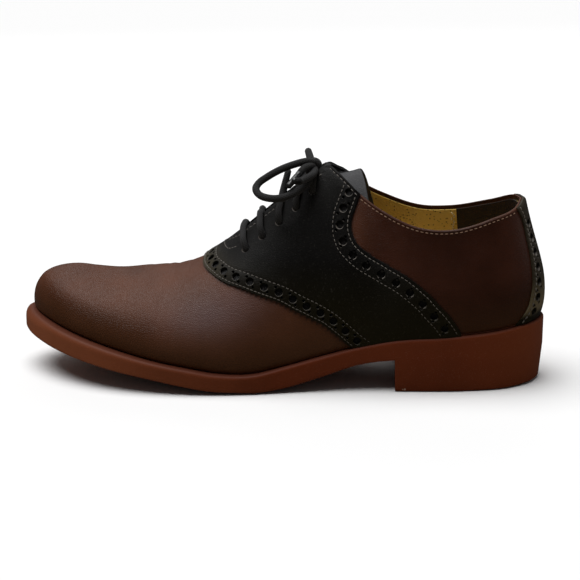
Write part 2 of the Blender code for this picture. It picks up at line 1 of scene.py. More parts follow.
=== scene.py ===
# Saddle oxford, left shoe: brown leather upper, black brogued saddle and backstay,
# brick rubber sole, round black lace in a bow. Shoe sizes are in millimetres: the station runs
# from the back of the sole to the toe, y from the outer (lateral) to the inner (medial) side.
import math
import bpy
import numpy as np
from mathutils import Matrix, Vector
from mathutils.geometry import delaunay_2d_cdt


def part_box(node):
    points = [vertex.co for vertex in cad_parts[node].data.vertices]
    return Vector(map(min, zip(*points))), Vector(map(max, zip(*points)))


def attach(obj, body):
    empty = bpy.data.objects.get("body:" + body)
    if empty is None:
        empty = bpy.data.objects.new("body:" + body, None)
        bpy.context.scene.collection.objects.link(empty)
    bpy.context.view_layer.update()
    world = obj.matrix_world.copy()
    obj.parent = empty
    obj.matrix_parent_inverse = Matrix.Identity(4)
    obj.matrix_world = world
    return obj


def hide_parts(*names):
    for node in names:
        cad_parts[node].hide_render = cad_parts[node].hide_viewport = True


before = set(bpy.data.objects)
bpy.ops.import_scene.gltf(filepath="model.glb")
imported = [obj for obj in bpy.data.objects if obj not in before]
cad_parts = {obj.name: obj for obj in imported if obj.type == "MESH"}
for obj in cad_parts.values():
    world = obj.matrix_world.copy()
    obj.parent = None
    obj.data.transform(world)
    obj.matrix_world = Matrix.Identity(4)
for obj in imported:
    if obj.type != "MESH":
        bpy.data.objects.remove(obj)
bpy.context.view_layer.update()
MM = 0.001


# Outsole and heel.
# One moulding of brick-red rubber: a plain wall with a rounded, paler top edge, a raised arch, some toe
# spring and a block heel.
# The upper is cemented onto its top face; the top edge's round and the ledge carry painted shade.
FEATHER = np.array((
    (3.6, 2.5, 2.5), (8.8, -11.8, 16.8), (21.0, -22.5, 27.0), (45.0, -29.5, 31.0),
    (78.0, -32.5, 29.5), (110.0, -34.0, 27.0), (145.0, -39.5, 28.0), (175.0, -45.0, 34.5),
    (200.0, -47.0, 41.0), (224.0, -45.5, 44.0), (248.0, -40.0, 43.0), (269.0, -30.5, 37.5),
    (286.0, -17.5, 27.0), (296.6, -4.5, 15.5), (300.0, 5.0, 5.0)))
HEEL_TIP, TOE_TIP = FEATHER[0, 0], FEATHER[-1, 0]
HEEL_FAN, TOE_FAN = 30.0, 250.0
SOLE_COLUMNS = ("station", "under", "face", "ledge", "lift")
SOLE = np.array((
    (0.0, 18.5, 38.0, 3.2, 1.2), (14.0, 18.5, 36.5, 2.5, 0.8), (37.0, 18.5, 33.7, 2.5, 0.3),
    (60.0, 18.5, 31.9, 2.8, 0.2), (84.5, 18.5, 30.2, 3.0, 0.2), (104.0, 15.8, 26.3, 3.0, 0.3),
    (126.0, 8.6, 20.6, 3.0, 0.4), (148.0, 2.2, 14.8, 3.5, 0.6), (163.0, 0.0, 11.4, 4.0, 0.8),
    (186.0, 0.0, 11.8, 4.5, 1.9), (200.0, 1.6, 14.2, 4.8, 2.5), (221.0, 5.3, 17.8, 5.3, 2.8),
    (245.0, 9.5, 22.8, 6.0, 2.4), (269.0, 14.0, 28.0, 6.3, 2.0), (287.0, 17.3, 32.0, 6.1, 2.0),
    (305.0, 20.6, 35.8, 5.3, 2.4)))
LATERAL, MEDIAL = 0, 1
SIDES = (LATERAL, MEDIAL)
BOTTOM_ROUND = 1.2
# The heel's front face on each side: its station at the top and how far its foot leans back
BREAST, BREAST_LEAN = (85.3, 89.2), (0.4, 3.0)


# Smooth curve through the rows of a table
def smooth(xs, ys, x):
    x = np.asarray(x, float)
    gap = np.diff(xs)
    rise = np.diff(ys) / gap
    slope = np.empty(len(xs))
    slope[0], slope[-1] = rise[0], rise[-1]
    slope[1:-1] = (rise[:-1] * gap[1:] + rise[1:] * gap[:-1]) / (gap[1:] + gap[:-1])
    i = np.clip(np.searchsorted(xs, x, side="right") - 1, 0, len(xs) - 2)
    h = gap[i]
    u = (x - xs[i]) / h
    return ((1 + 2 * u) * (1 - u) ** 2 * ys[i] + u * (1 - u) ** 2 * h * slope[i]
            + u * u * (3 - 2 * u) * ys[i + 1] + u * u * (u - 1) * h * slope[i + 1])


def sole(column, station):
    return smooth(SOLE[:, 0], SOLE[:, SOLE_COLUMNS.index(column)], station)


def lengths(points):
    return np.concatenate(((0.0,), np.cumsum(np.linalg.norm(np.diff(points, axis=0), axis=1))))


# The feather line, where upper meets sole, as two half outlines from heel to toe
def half_outlines():
    loop = np.vstack((FEATHER[:, (0, 1)], FEATHER[::-1][1:, (0, 2)]))
    wrapped = np.vstack((loop[-4:-1], loop, loop[1:4]))
    chord = lengths(wrapped)
    n = len(FEATHER) - 1
    halves = []
    for first, end in ((3, 3 + n), (3 + n, 3 + 2 * n)):
        u = np.linspace(chord[first], chord[end], 500)
        halves.append(np.stack((smooth(chord, wrapped[:, 0], u), smooth(chord, wrapped[:, 1], u)), 1))
    return halves[0], halves[1][::-1]


OUTLINE = half_outlines()
RUN = [lengths(half) for half in OUTLINE]


# Length along a half outline for a guide: the station, but even steps round heel and toe
def run_at(side, guide):
    guide = np.asarray(guide, float)
    stations = np.maximum.accumulate(OUTLINE[side][:, 0])
    heel, toe = np.interp((HEEL_FAN, TOE_FAN), stations, RUN[side])
    full = RUN[side][-1]
    middle = np.interp(np.clip(guide, HEEL_FAN, TOE_FAN), stations, RUN[side])
    in_heel = heel * (guide - HEEL_TIP) / (HEEL_FAN - HEEL_TIP)
    in_toe = toe + (full - toe) * (guide - TOE_FAN) / (TOE_TIP - TOE_FAN)
    return np.where(guide < HEEL_FAN, in_heel, np.where(guide > TOE_FAN, in_toe, middle))


def on_outline(side, at):
    return np.stack([np.interp(at, RUN[side], OUTLINE[side][:, k]) for k in (0, 1)], -1)


def outline(side, guide):
    return on_outline(side, run_at(side, guide))


def outward(side, guide):
    at = run_at(side, guide)
    full = RUN[side][-1]
    a, b = [on_outline(side, np.clip(at + step, 0.0, full)) for step in (-1.5, 1.5)]
    along = (b - a) / np.linalg.norm(b - a, axis=-1, keepdims=True)
    normal = np.stack((along[..., 1], -along[..., 0]), -1)
    if side == MEDIAL:
        normal = -normal
    normal = np.where((at < 1e-6)[..., None], np.array((-1.0, 0.0)), normal)
    return np.where((at > full - 1e-6)[..., None], np.array((1.0, 0.0)), normal)


def grid_faces(rows, columns):
    i, j = np.meshgrid(np.arange(rows - 1), np.arange(columns - 1), indexing="ij")
    corner = (i * columns + j).ravel()
    return np.stack((corner, corner + columns, corner + columns + 1, corner + 1), 1)


def weld(points, faces):
    _, first, place = np.unique(np.round(points, 3) + 0.0, axis=0, return_index=True, return_inverse=True)
    return points[first], place.ravel()[faces], first


# The wall's top edge at some guides: how far in its round reaches and how far down it starts
EDGE_GUIDES = (150.0, 230.0, 275.0, 296.0)
EDGE_IN, EDGE_DROP = (1.6, 2.0, 2.8, 4.6), (1.6, 2.2, 3.4, 7.0)
# The heel's wall leans in towards the floor, less towards its front
HEEL_TAPER = (1.6, 1.4, 0.9)
HEEL_FLAT, SOLE_FLAT, TOP_FLAT = 7.0, 13.0, 8.0
# Rows of the top edge's round and of the ledge that are painted darker as shade, and how much
RIM_SHADE_SHARES = (0.0, 0.15, 0.4, 0.65, 0.85, 1.0, 1.0)
TREAD_ROWS = 9


# One half of the sole's cross sections: points from the middle of the underside round the edge to the
# middle of the top, with each row's share of the painted shade on the rounded top edge and ledge, and of the
# tread, for the colour
def sole_half(side, heel):
    if heel:
        parts = (np.linspace(HEEL_TIP, HEEL_FAN, 30), np.linspace(HEEL_FAN, BREAST[side], 24)[1:])
    else:
        parts = (np.linspace(BREAST[side], TOE_FAN, 72), np.linspace(TOE_FAN, TOE_TIP, 42)[1:])
    guide = np.concatenate(parts)
    plan = outline(side, guide)
    out = outward(side, guide)
    ledge = sole("ledge", plan[:, 0])
    none = 0.0 * guide
    taper = np.interp(guide, (HEEL_TIP, HEEL_FAN, BREAST[side]), HEEL_TAPER) if heel else none
    lean = np.where(guide >= BREAST[side] - 1e-6, BREAST_LEAN[side], 0.0) if heel else none
    inner = taper + (HEEL_FLAT if heel else SOLE_FLAT)
    edge_in = np.interp(guide, EDGE_GUIDES, EDGE_IN)
    edge_drop = np.interp(guide, EDGE_GUIDES, EDGE_DROP)
    turns = np.linspace(0.0, math.pi / 2, 6)[1:]

    def at(inset, height, lean=0.0):
        flat = plan + out * (ledge - inset)[:, None]
        flat[:, 0] -= lean
        return np.concatenate((flat, height(flat[:, 0])[:, None]), 1)

    def arch(s):
        return np.maximum(0.0, sole("under", s))

    def floor(s):
        return 0.0 * s if heel else arch(s)

    def edge(s):
        return floor(s) + sole("lift", s)

    def waist(s):
        return arch(s) + sole("lift", s)

    rows = []
    for share in np.linspace(0.0, 1.0, 6):
        rows.append(at(inner + (taper + BOTTOM_ROUND - inner) * share,
                       lambda s: floor(s) + (edge(s) - floor(s)) * share, lean))
    for turn in turns:
        rows.append(at(taper + BOTTOM_ROUND * (1 - math.sin(turn)),
                       lambda s: edge(s) + BOTTOM_ROUND * (1 - math.cos(turn)), lean))
    for share in np.linspace(0.0, 1.0, 7)[1:]:
        rows.append(at(taper * (1 - share), lambda s: edge(s) + BOTTOM_ROUND + (waist(s) - edge(s)) * share,
                       lean * (1 - share)))
    for share in np.linspace(0.0, 1.0, 7)[1:]:
        rows.append(at(none, lambda s: (waist(s) + BOTTOM_ROUND) * (1 - share)
                       + (sole("face", s) - edge_drop) * share))
    for turn in turns:
        rows.append(at(edge_in * (1 - math.cos(turn)),
                       lambda s: sole("face", s) - edge_drop * (1 - math.sin(turn))))
    rows.append(at(none + TOP_FLAT, lambda s: sole("face", s)))
    rim_shade, tread = np.zeros(len(rows)), np.zeros(len(rows))
    rim_shade[-len(RIM_SHADE_SHARES):] = RIM_SHADE_SHARES
    tread[:TREAD_ROWS] = 1.0
    return np.stack(rows, 1), rim_shade, tread


def sole_rings(heel):
    lateral, rim_shade, tread = sole_half(LATERAL, heel)
    medial = sole_half(MEDIAL, heel)[0]
    ring = np.concatenate((lateral, medial[:, ::-1], lateral[:, :1]), 1)
    shades = [np.concatenate((a, a[::-1], a[:1])) for a in (rim_shade, tread)]
    return ring, [np.tile(shade, (len(ring), 1)) for shade in shades]


heel_part, heel_shades = sole_rings(True)
waist_part, waist_shades = sole_rings(False)
sole_points = np.concatenate((heel_part, waist_part))
sole_shades = [np.concatenate(pair).ravel() for pair in zip(heel_shades, waist_shades)]
sole_faces = grid_faces(*sole_points.shape[:2])
flat_sole = sole_points.reshape(-1, 3)

# The shoe's own lengths meet the frame where the two outsoles have the same box
low, high = [np.array(corner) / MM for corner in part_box("outsole")]
sole_low, sole_high = flat_sole.min(axis=0), flat_sole.max(axis=0)
MIDDLE = np.array(((sole_low[0] + sole_high[0] + low[0] + high[0]) / 2,
                   (sole_low[1] + sole_high[1] - low[1] - high[1]) / 2))


def to_frame(points):
    p = np.atleast_2d(np.asarray(points, float))
    return np.stack((MIDDLE[0] - p[:, 0], p[:, 1] - MIDDLE[1], p[:, 2]), 1) * MM


def to_frame_direction(vectors):
    return np.asarray(vectors, float) * (-1.0, 1.0, 1.0)


def linked(name, data):
    obj = bpy.data.objects.new(name, data)
    bpy.context.scene.collection.objects.link(obj)
    return obj


# The corners of each face without repeats
def loops_of(faces):
    loops = [[v for k, v in enumerate(f) if v != f[k - 1]] for f in np.asarray(faces).tolist()]
    return [f for f in loops if len(set(f)) >= 3]


# A mesh in the frame, with one value for each point under each name
def mesh_of(points, loops, values=None):
    mesh = bpy.data.meshes.new("made")
    mesh.from_pydata(to_frame(points).tolist(), [], [f[::-1] for f in loops])
    for key, value in (values or {}).items():
        named = mesh.attributes.new(key, "FLOAT", "POINT")
        named.data.foreach_set("value", np.asarray(value, np.float32))
    return mesh


# A finished piece: smooth with sharp edges, riding on the shoe
def settle(name, mesh, finish, replaced=(), sharp=42.0):
    mesh.validate()
    mesh.materials.clear()
    mesh.materials.append(finish)
    mesh.shade_smooth()
    mesh.set_sharp_from_angle(angle=math.radians(sharp))
    mesh.name = name
    obj = linked(name, mesh)
    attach(obj, "root")
    if replaced:
        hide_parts(*replaced)
    return obj


# A new finish and its nodes
def finish_of(name, roughness, **constants):
    made = bpy.data.materials.new(name)
    made.use_nodes = True
    shader = made.node_tree.nodes["Principled BSDF"]
    shader.inputs["Roughness"].default_value = roughness
    for key, value in constants.items():
        shader.inputs[key.replace("_", " ")].default_value = value
    return made, made.node_tree


# A node with its settings, and its inputs joined or set by name
def add(tree, kind, inputs=None, **settings):
    made = tree.nodes.new(kind)
    for key, value in settings.items():
        setattr(made, key, value)
    for key, value in (inputs or {}).items():
        if isinstance(value, bpy.types.NodeSocket):
            tree.links.new(value, made.inputs[key])
        else:
            made.inputs[key].default_value = value
    return made


# A new tree with its named inputs and outputs
def tree_of(name, kind, inputs, outputs):
    tree = bpy.data.node_groups.new(name, kind)
    for way, sockets in (("INPUT", inputs), ("OUTPUT", outputs)):
        for key, socket in sockets.items():
            tree.interface.new_socket(key, in_out=way, socket_type="NodeSocket" + socket)
    return tree, tree.nodes.new("NodeGroupInput").outputs, tree.nodes.new("NodeGroupOutput").inputs


def ramp(tree, value, low, high, start=0.0, end=1.0):
    made = add(tree, "ShaderNodeMapRange", {"Value": value, "From Min": low, "From Max": high,
                                            "To Min": start, "To Max": end})
    return made.outputs["Result"]


def maths(tree, operation, first, second):
    return add(tree, "ShaderNodeMath", {0: first, 1: second}, operation=operation).outputs[0]


# Two colours mixed by a share, which an amount can scale
def mixed(tree, share, first, second, amount=None):
    if amount is not None:
        share = maths(tree, "MULTIPLY", share, amount)
    first, second = [c if isinstance(c, bpy.types.NodeSocket) else (*c, 1.0) for c in (first, second)]
    return add(tree, "ShaderNodeMix", {0: share, 6: first, 7: second}, data_type="RGBA").outputs[2]


def read(tree, name):
    return add(tree, "ShaderNodeAttribute", attribute_name=name).outputs["Fac"]


def place_in(tree):
    return add(tree, "ShaderNodeTexCoord").outputs["Object"]


def place_along(tree, axis):
    return add(tree, "ShaderNodeSeparateXYZ", {"Vector": place_in(tree)}).outputs[axis]


def noise(tree, scale, detail, roughness=0.5):
    return add(tree, "ShaderNodeTexNoise", {"Vector": place_in(tree), "Scale": scale, "Detail": detail,
                                            "Roughness": roughness}).outputs["Fac"]


# Joins a finish to its colour, its relief (height, strength, depth in metres) and its roughness (a tone
# and the values at both ends of it)
def dress(tree, colour, relief=None, rough=None):
    sockets = {"Base Color": colour}
    if relief:
        dent = dict(zip(("Height", "Strength", "Distance"), relief))
        sockets["Normal"] = add(tree, "ShaderNodeBump", dent).outputs["Normal"]
    if rough:
        sockets["Roughness"] = ramp(tree, rough[0], 0.0, 1.0, *rough[1:])
    for key, socket in sockets.items():
        tree.links.new(socket, tree.nodes["Principled BSDF"].inputs[key])


# Patchy tone and fine specks of handled material, for every finish of the shoe
HANDLED, given, put = tree_of("handled_tone", "ShaderNodeTree", {"Patch": "Float", "Speck": "Float"},
                              {"Tone": "Float", "Specks": "Float"})
HANDLED.links.new(ramp(HANDLED, noise(HANDLED, given["Patch"], 4.0), 0.34, 0.66), put["Tone"])
HANDLED.links.new(ramp(HANDLED, noise(HANDLED, given["Speck"], 2.0), 0.60, 0.72), put["Specks"])


def handled(tree, patch, speck):
    return add(tree, "ShaderNodeGroup", {"Patch": patch, "Speck": speck}, node_tree=HANDLED).outputs


RUBBER, rubber = finish_of("brick_rubber", 0.55, Specular_IOR_Level=0.12)
tone = handled(rubber, 22.0, 1400.0)
length = place_along(rubber, "X")
toe_red = mixed(rubber, tone["Tone"], (0.190, 0.056, 0.023), (0.230, 0.069, 0.029))
heel_red_painted_shade = mixed(rubber, tone["Tone"], (0.110, 0.021, 0.0052), (0.136, 0.026, 0.0072))
# painted shade: the sole's colour darkens from the toe towards the heel
look = mixed(rubber, ramp(rubber, length, -0.13, 0.0), toe_red, heel_red_painted_shade)
# painted light: the wall is painted lighter again round the back of the heel
look = mixed(rubber, ramp(rubber, length, 0.10, 0.15, 0.0, 0.9), look, (0.170, 0.037, 0.0105))
# painted shade: the rounded top edge and the ledge under the upper are darkened
look = mixed(rubber, read(rubber, "rim_shade"), look, (0.066, 0.0185, 0.0105), 0.85)
look = mixed(rubber, read(rubber, "tread"), look, (0.120, 0.045, 0.034), 0.45)
look = mixed(rubber, tone["Specks"], look, (0.30, 0.13, 0.10), 0.16)
# two small chips by the heel's front corner
for spot, size in (((0.0736, -0.0340, 0.0016), 0.0009), ((0.0724, -0.0340, 0.0016), 0.0006)):
    away = add(rubber, "ShaderNodeVectorMath", {0: place_in(rubber), 1: spot}, operation="DISTANCE")
    chipped = ramp(rubber, away.outputs["Value"], size, 0.4 * size, 0.0, 0.75)
    look = mixed(rubber, chipped, look, (0.55, 0.45, 0.38))
dress(rubber, look, (noise(rubber, 1500.0, 3.0), 0.18, 0.0004), (tone["Tone"], 0.50, 0.62))

points, faces, kept = weld(flat_sole, sole_faces)
mesh = mesh_of(points, loops_of(faces[:, ::-1]), {"rim_shade": sole_shades[0][kept], "tread": sole_shades[1][kept]})
settle("moulded_sole", mesh, RUBBER, ("outsole",), 50.0)


# Insole.
# A mustard leather sock glued on the board inside the upper, a little hollow under the foot.
INSOLE_INSET, INSOLE_LOW, INSOLE_THICK = 3.6, 0.35, 2.9
SOCK_HOLLOW, SOCK_THICK = 0.9, 1.9
UP = np.array((0.0, 0.0, 1.0))


# Guides from heel to toe: so many round the heel, along the middle and round the toe
def guides_of(heel, middle, toe):
    return np.concatenate((np.linspace(HEEL_TIP, HEEL_FAN, heel), np.linspace(HEEL_FAN, TOE_FAN, middle)[1:],
                           np.linspace(TOE_FAN, TOE_TIP, toe)[1:]))


rows = guides_of(20, 70, 24)
across = np.linspace(0.0, 1.0, 25)
edges = [outline(side, rows) - outward(side, rows) * INSOLE_INSET for side in SIDES]
plan = edges[0][:, None] + (edges[1] - edges[0])[:, None] * across[None, :, None]
height = sole("face", plan[..., 0]) + INSOLE_LOW + INSOLE_THICK
height = height - SOCK_HOLLOW * np.minimum(1.0, 5.0 * across * (1 - across))
top_face = np.concatenate((plan, height[..., None]), -1).reshape(-1, 3)


# A closed wall of leather between two heights over an open sheet, with its cut edge
def walled(points, faces, normal, low, high):
    n = len(points)
    both = np.concatenate([points + normal * np.reshape(h, (-1, 1)) for h in (high, low)])
    loops = loops_of(faces)
    pairs = {(f[k - 1], f[k]) for f in loops for k in range(len(f))}
    closed = loops + [[v + n for v in f[::-1]] for f in loops]
    closed += [[b, a, a + n, b + n] for a, b in sorted(pairs) if (b, a) not in pairs]
    return both, closed


# Leather grain: a net of small creases with pores between them, as height and as a mask
GRAIN, given, put = tree_of("hide_grain", "ShaderNodeTree", {"Pebble": "Float", "Wrinkle": "Float"},
                            {"Height": "Float", "Pores": "Float"})
pebbles = {"Vector": place_in(GRAIN), "Scale": given["Pebble"]}
cells = add(GRAIN, "ShaderNodeTexVoronoi", pebbles, feature="DISTANCE_TO_EDGE").outputs["Distance"]
spots = add(GRAIN, "ShaderNodeTexVoronoi", pebbles).outputs["Distance"]
net = maths(GRAIN, "MULTIPLY", ramp(GRAIN, cells, 0.0, 0.22), 0.45)
folds = maths(GRAIN, "MULTIPLY", noise(GRAIN, given["Wrinkle"], 5.0, 0.6), 0.9)
GRAIN.links.new(maths(GRAIN, "ADD", net, folds), put["Height"])
GRAIN.links.new(ramp(GRAIN, spots, 0.30, 0.12), put["Pores"])


def grain(tree, pebble, wrinkle):
    return add(tree, "ShaderNodeGroup", {"Pebble": pebble, "Wrinkle": wrinkle}, node_tree=GRAIN).outputs


MUSTARD, mustard = finish_of("mustard_lining", 0.62)
tone, skin = handled(mustard, 30.0, 700.0), grain(mustard, 480.0, 90.0)
look = mixed(mustard, tone["Tone"], (0.70, 0.455, 0.090), (0.86, 0.600, 0.160))
look = mixed(mustard, skin["Pores"], look, (0.060, 0.032, 0.006), 0.75)
look = mixed(mustard, read(mustard, "faced"), look, (0.008, 0.007, 0.006))
dress(mustard, look, (skin["Height"], 0.35, 0.0004))

top_face, faces, kept = weld(top_face, grid_faces(len(rows), len(across)))
points, loops = walled(top_face, faces, UP, -SOCK_THICK, 0.0)
settle("sock", mesh_of(points, loops), MUSTARD, ("insole",))


# Upper: vamp and quarters.
# Dark brown polished calf, lasted as one hollow wall and open at collar, throat and underneath. The
# collar edge is turned over and stitched; soft creases lie across the vamp behind the toe.
TOP_COLUMNS = ("guide", "station", "y_lateral", "y_medial", "z_lateral", "z_medial",
               "wall_up", "wall_out", "crown", "crown_out", "crown_drop")
TOP = np.array((
    (3.6, 15.5, 2.0, 2.0, 106.0, 106.0, 26.0, 4.4, 0.00, 8.0, 34.0),
    (12.0, 18.5, -9.5, 13.5, 103.3, 105.3, 26.0, 4.7, 0.00, 7.4, 32.0),
    (30.0, 33.0, -20.5, 24.0, 98.3, 100.0, 25.0, 5.0, 0.00, 6.0, 28.0),
    (55.0, 56.0, -25.0, 27.0, 92.4, 95.3, 23.0, 4.5, 0.00, 4.0, 24.0),
    (75.0, 75.0, -25.5, 26.0, 94.0, 96.0, 24.0, 3.5, 0.00, 4.5, 24.0),
    (92.0, 92.0, -23.0, 22.5, 101.2, 102.2, 27.0, 3.0, 0.00, 6.0, 24.0),
    (108.0, 108.0, -16.5, 17.0, 111.4, 111.1, 32.0, 2.5, 0.05, 9.0, 22.0),
    (118.0, 118.0, -8.5, 10.0, 120.3, 120.0, 36.0, 2.0, 0.20, 6.0, 15.0),
    (126.0, 126.0, 1.0, 1.0, 127.0, 127.0, 39.0, 1.5, 0.40, 0.0, 9.0),
    (132.0, 132.0, 1.5, 1.5, 123.2, 123.2, 39.0, 1.5, 0.42, 0.0, 7.5),
    (145.0, 145.0, 1.5, 1.5, 111.3, 111.3, 38.0, 2.0, 0.44, 0.0, 6.0),
    (165.0, 165.0, 2.0, 2.0, 92.8, 92.8, 34.0, 3.0, 0.50, 0.0, 4.0),
    (183.0, 183.0, 2.5, 2.5, 76.6, 76.6, 29.0, 4.0, 0.57, 0.0, 1.5),
    (198.0, 198.0, 3.0, 3.0, 67.2, 67.2, 25.0, 4.5, 0.62, 0.0, 0.3),
    (211.0, 211.0, 3.0, 3.0, 62.3, 62.3, 22.0, 4.5, 0.64, 0.0, 0.0),
    (228.0, 228.0, 3.5, 3.5, 60.0, 60.0, 20.0, 4.0, 0.66, 0.0, 0.0),
    (250.0, 246.0, 4.0, 4.0, 58.1, 58.1, 19.0, 3.5, 0.67, 0.0, 0.0),
    (275.0, 258.0, 4.5, 4.5, 58.9, 58.9, 18.0, 3.6, 0.70, 0.0, 0.0),
    (300.0, 263.0, 4.5, 4.5, 60.0, 60.0, 18.0, 2.5, 0.67, 0.0, 0.0)))
# Share of the rise at which the upper stops: below 1 along the throat
THROAT = np.array((
    (3.6, 1.0), (112.0, 1.0), (118.0, 0.985), (126.0, 0.900), (132.0, 0.893), (145.0, 0.905),
    (165.0, 0.922), (174.5, 0.938), (180.5, 1.0), (300.0, 1.0)))
FEATHER_GAP = 0.35
RISE_SPAN = 100.0


def top(column, guide, table):
    return smooth(table[:, 0], table[:, TOP_COLUMNS.index(column)], guide)


def throat(guide):
    return np.interp(guide, THROAT[:, 0], THROAT[:, 1])


# The last: each profile rises from the feather line to the top line as one cubic curve
def last(side, guide, rise, table=TOP):
    guide, rise = np.broadcast_arrays(np.asarray(guide, float), np.asarray(rise, float))
    plan = outline(side, guide)
    flat_out = outward(side, guide)
    foot = np.concatenate((plan, (sole("face", plan[..., 0]) + FEATHER_GAP)[..., None]), -1)
    out = np.concatenate((flat_out, np.zeros(guide.shape + (1,))), -1)
    side_name = "_lateral" if side == LATERAL else "_medial"
    crest = np.stack((top("station", guide, table), top("y" + side_name, guide, table),
                      top("z" + side_name, guide, table)), -1)
    wall = (foot + out * top("wall_out", guide, table)[..., None]
            + UP * top("wall_up", guide, table)[..., None])
    across = foot - crest
    across[..., 2] = 0.0
    share = top("crown", guide, table)
    crown = (crest + across * share[..., None] + out * top("crown_out", guide, table)[..., None]
             - UP * top("crown_drop", guide, table)[..., None])
    # the crown leans along the crest where the rows fan out round the toe
    climb = ((top("z_lateral", guide + 0.5, table) - top("z_lateral", guide - 0.5, table))
             / (top("station", guide + 0.5, table) - top("station", guide - 0.5, table)))
    crown[..., 2] += np.clip((guide - 130.0) / 40.0, 0.0, 1.0) * climb * share * across[..., 0]
    v = rise[..., None]
    return (1 - v) ** 3 * foot + 3 * v * (1 - v) ** 2 * wall + 3 * v * v * (1 - v) * crown + v ** 3 * crest


def normals(points, faces):
    total = np.zeros_like(points)
    corners = [points[faces[:, k]] for k in range(faces.shape[1])]
    if faces.shape[1] == 4:
        area = np.cross(corners[2] - corners[0], corners[3] - corners[1])
    else:
        area = np.cross(corners[1] - corners[0], corners[2] - corners[0])
    for k in range(faces.shape[1]):
        np.add.at(total, faces[:, k], area)
    return total / np.maximum(1e-9, np.linalg.norm(total, axis=1, keepdims=True))


# Both sides of a panel, welded where they meet: points, faces, normals, and the guide, rise and side of
# each point
def both_sides(guide, rise, faces, table=TOP):
    guide, rise = [np.asarray(a, float).ravel() for a in np.broadcast_arrays(guide, rise)]
    points = np.concatenate([last(side, guide, rise, table) for side in SIDES])
    every = np.concatenate((faces, faces[:, ::-1] + len(guide)))
    points, every, kept = weld(points, every)
    guides, rises = np.tile(guide, 2)[kept], np.tile(rise, 2)[kept]
    sides = np.repeat(SIDES, len(guide))[kept]
    return points, every, normals(points, every), guides, rises, sides


def fade(value, start, end):
    u = np.clip((value - start) / (end - start), 0.0, 1.0)
    return u * u * (3 - 2 * u)


LEATHER_THICK = 1.3
COLLAR_END = 118.0
COLLAR_ROW = 2.1
# The collar's relief: the turned edge, the bead under it and the dip along the seam
TURN_WIDE, TURN_DEEP = 0.9, 0.55
BEAD_ROW, BEAD_WIDE, BEAD_HIGH = 1.3, 0.7, 0.22
DIP_WIDE, DIP_DEEP = 0.45, 0.16
# About the height from the feather line to the top line
LAST_HIGH = 78.0
# Creases across the vamp: guide at the crest, lean toward the toe down the side, depth, width, and reach
# down the side
CREASES = ((205.0, 9.0, 0.14, 2.6, 0.34), (213.5, 14.0, 0.26, 2.4, 0.40), (218.5, 20.0, 0.16, 2.0, 0.30),
           (228.0, 14.0, 0.14, 3.4, 0.36))


# The whole upper as a net: rows of guides, and columns as shares of the rise to its top line
def net_of(rows, columns):
    return both_sides(rows[:, None], columns * throat(rows)[:, None], grid_faces(len(rows), len(columns)))


def hump(value, middle, width):
    return np.exp(-((value - middle) / width) ** 2)


# 1 at an edge, falling to 0 at a width from it
def brink(value, width):
    return np.clip(1 - value / width, 0, 1)


# How far a point belongs to the toe's crest, where the rows fan out round its end
def toe_crest(guides, rises):
    return fade(guides, 236.0, 262.0) * fade(rises, 0.42, 0.75)


columns = np.concatenate((np.linspace(0.0, 0.05, 6), np.linspace(0.05, 0.95, 42)[1:],
                          np.linspace(0.95, 1.0, 10)[1:]))
points, faces, normal, guides, rises, sides = net_of(guides_of(40, 221, 60), columns)

# The toe's crest is rubbed smooth, which sinks it by up to RUBBED_IN
RUBS, RUBBED_IN = 240, 1.6
rubbed = toe_crest(guides, rises)
ties = np.concatenate([faces[:, (k, (k + 1) % 4)] for k in range(4)])
ties = np.unique(np.sort(ties[rubbed[ties].max(1) > 0], 1), axis=0)
ties = np.concatenate((ties, ties[:, ::-1]))
count = np.maximum(1, np.bincount(ties[:, 0], minlength=len(points)))[:, None]
for _ in range(RUBS):
    total = np.stack([np.bincount(ties[:, 0], points[ties[:, 1], k], len(points)) for k in range(3)], 1)
    points = points + 0.5 * rubbed[:, None] * (total / count - points)
normal = normals(points, faces)

# Relief: the turned and sewn collar, the edge drawn in over the sole, and the creases
from_top = (1.0 - rises / throat(guides)) * LAST_HIGH
collar = 1.0 - fade(guides, COLLAR_END - 4.0, COLLAR_END + 4.0)
lift = collar * (-TURN_DEEP * brink(from_top, TURN_WIDE) ** 2
                 + BEAD_HIGH * hump(from_top, BEAD_ROW, BEAD_WIDE)
                 - DIP_DEEP * hump(from_top, COLLAR_ROW, DIP_WIDE))
lift -= 0.8 * brink(rises, 0.03) ** 2
for guide, lean, depth, width, reach in CREASES:
    away = guides - (guide + lean * (1 - rises) ** 1.5)
    strength = depth * fade(rises, 1.0 - reach, 1.0 - reach * 0.35)
    lift += strength * (0.8 * hump(away, 1.3 * width, width) - hump(away, 0.0, 0.55 * width))

# The saddle's edges from sole to top line: rise, guide
SADDLE_FRONT = np.array((
    (0.0, 109.5), (0.088, 118.2), (0.125, 123.0), (0.175, 131.0), (0.245, 141.8), (0.315, 151.0),
    (0.372, 158.8), (0.425, 165.8), (0.487, 173.0), (0.545, 179.4), (0.615, 185.4), (0.688, 189.9),
    (0.738, 192.6), (0.828, 195.8), (0.915, 196.9), (1.0, 197.1)))
SADDLE_BACK = np.array((
    (0.0, 48.3), (0.1, 51.9), (0.2, 56.2), (0.323, 62.5), (0.4, 66.4), (0.44, 69.2), (0.515, 75.3),
    (0.565, 81.5), (0.593, 88.0), (0.608, 93.0), (0.623, 101.5), (0.632, 106.0), (0.645, 109.4),
    (0.67, 111.0), (0.71, 111.6), (0.755, 111.3), (0.845, 109.6), (0.965, 107.2), (1.0, 106.5)))


# Even points of guide and rise along an edge
def edge_path(table):
    chord = lengths(table * (RISE_SPAN, 1.0))
    even = np.linspace(0.0, chord[-1], 240)
    return np.stack((smooth(chord, table[:, 1], even), smooth(chord, table[:, 0], even)), 1)


FRONT_EDGE, BACK_EDGE = edge_path(SADDLE_FRONT), edge_path(SADDLE_BACK)
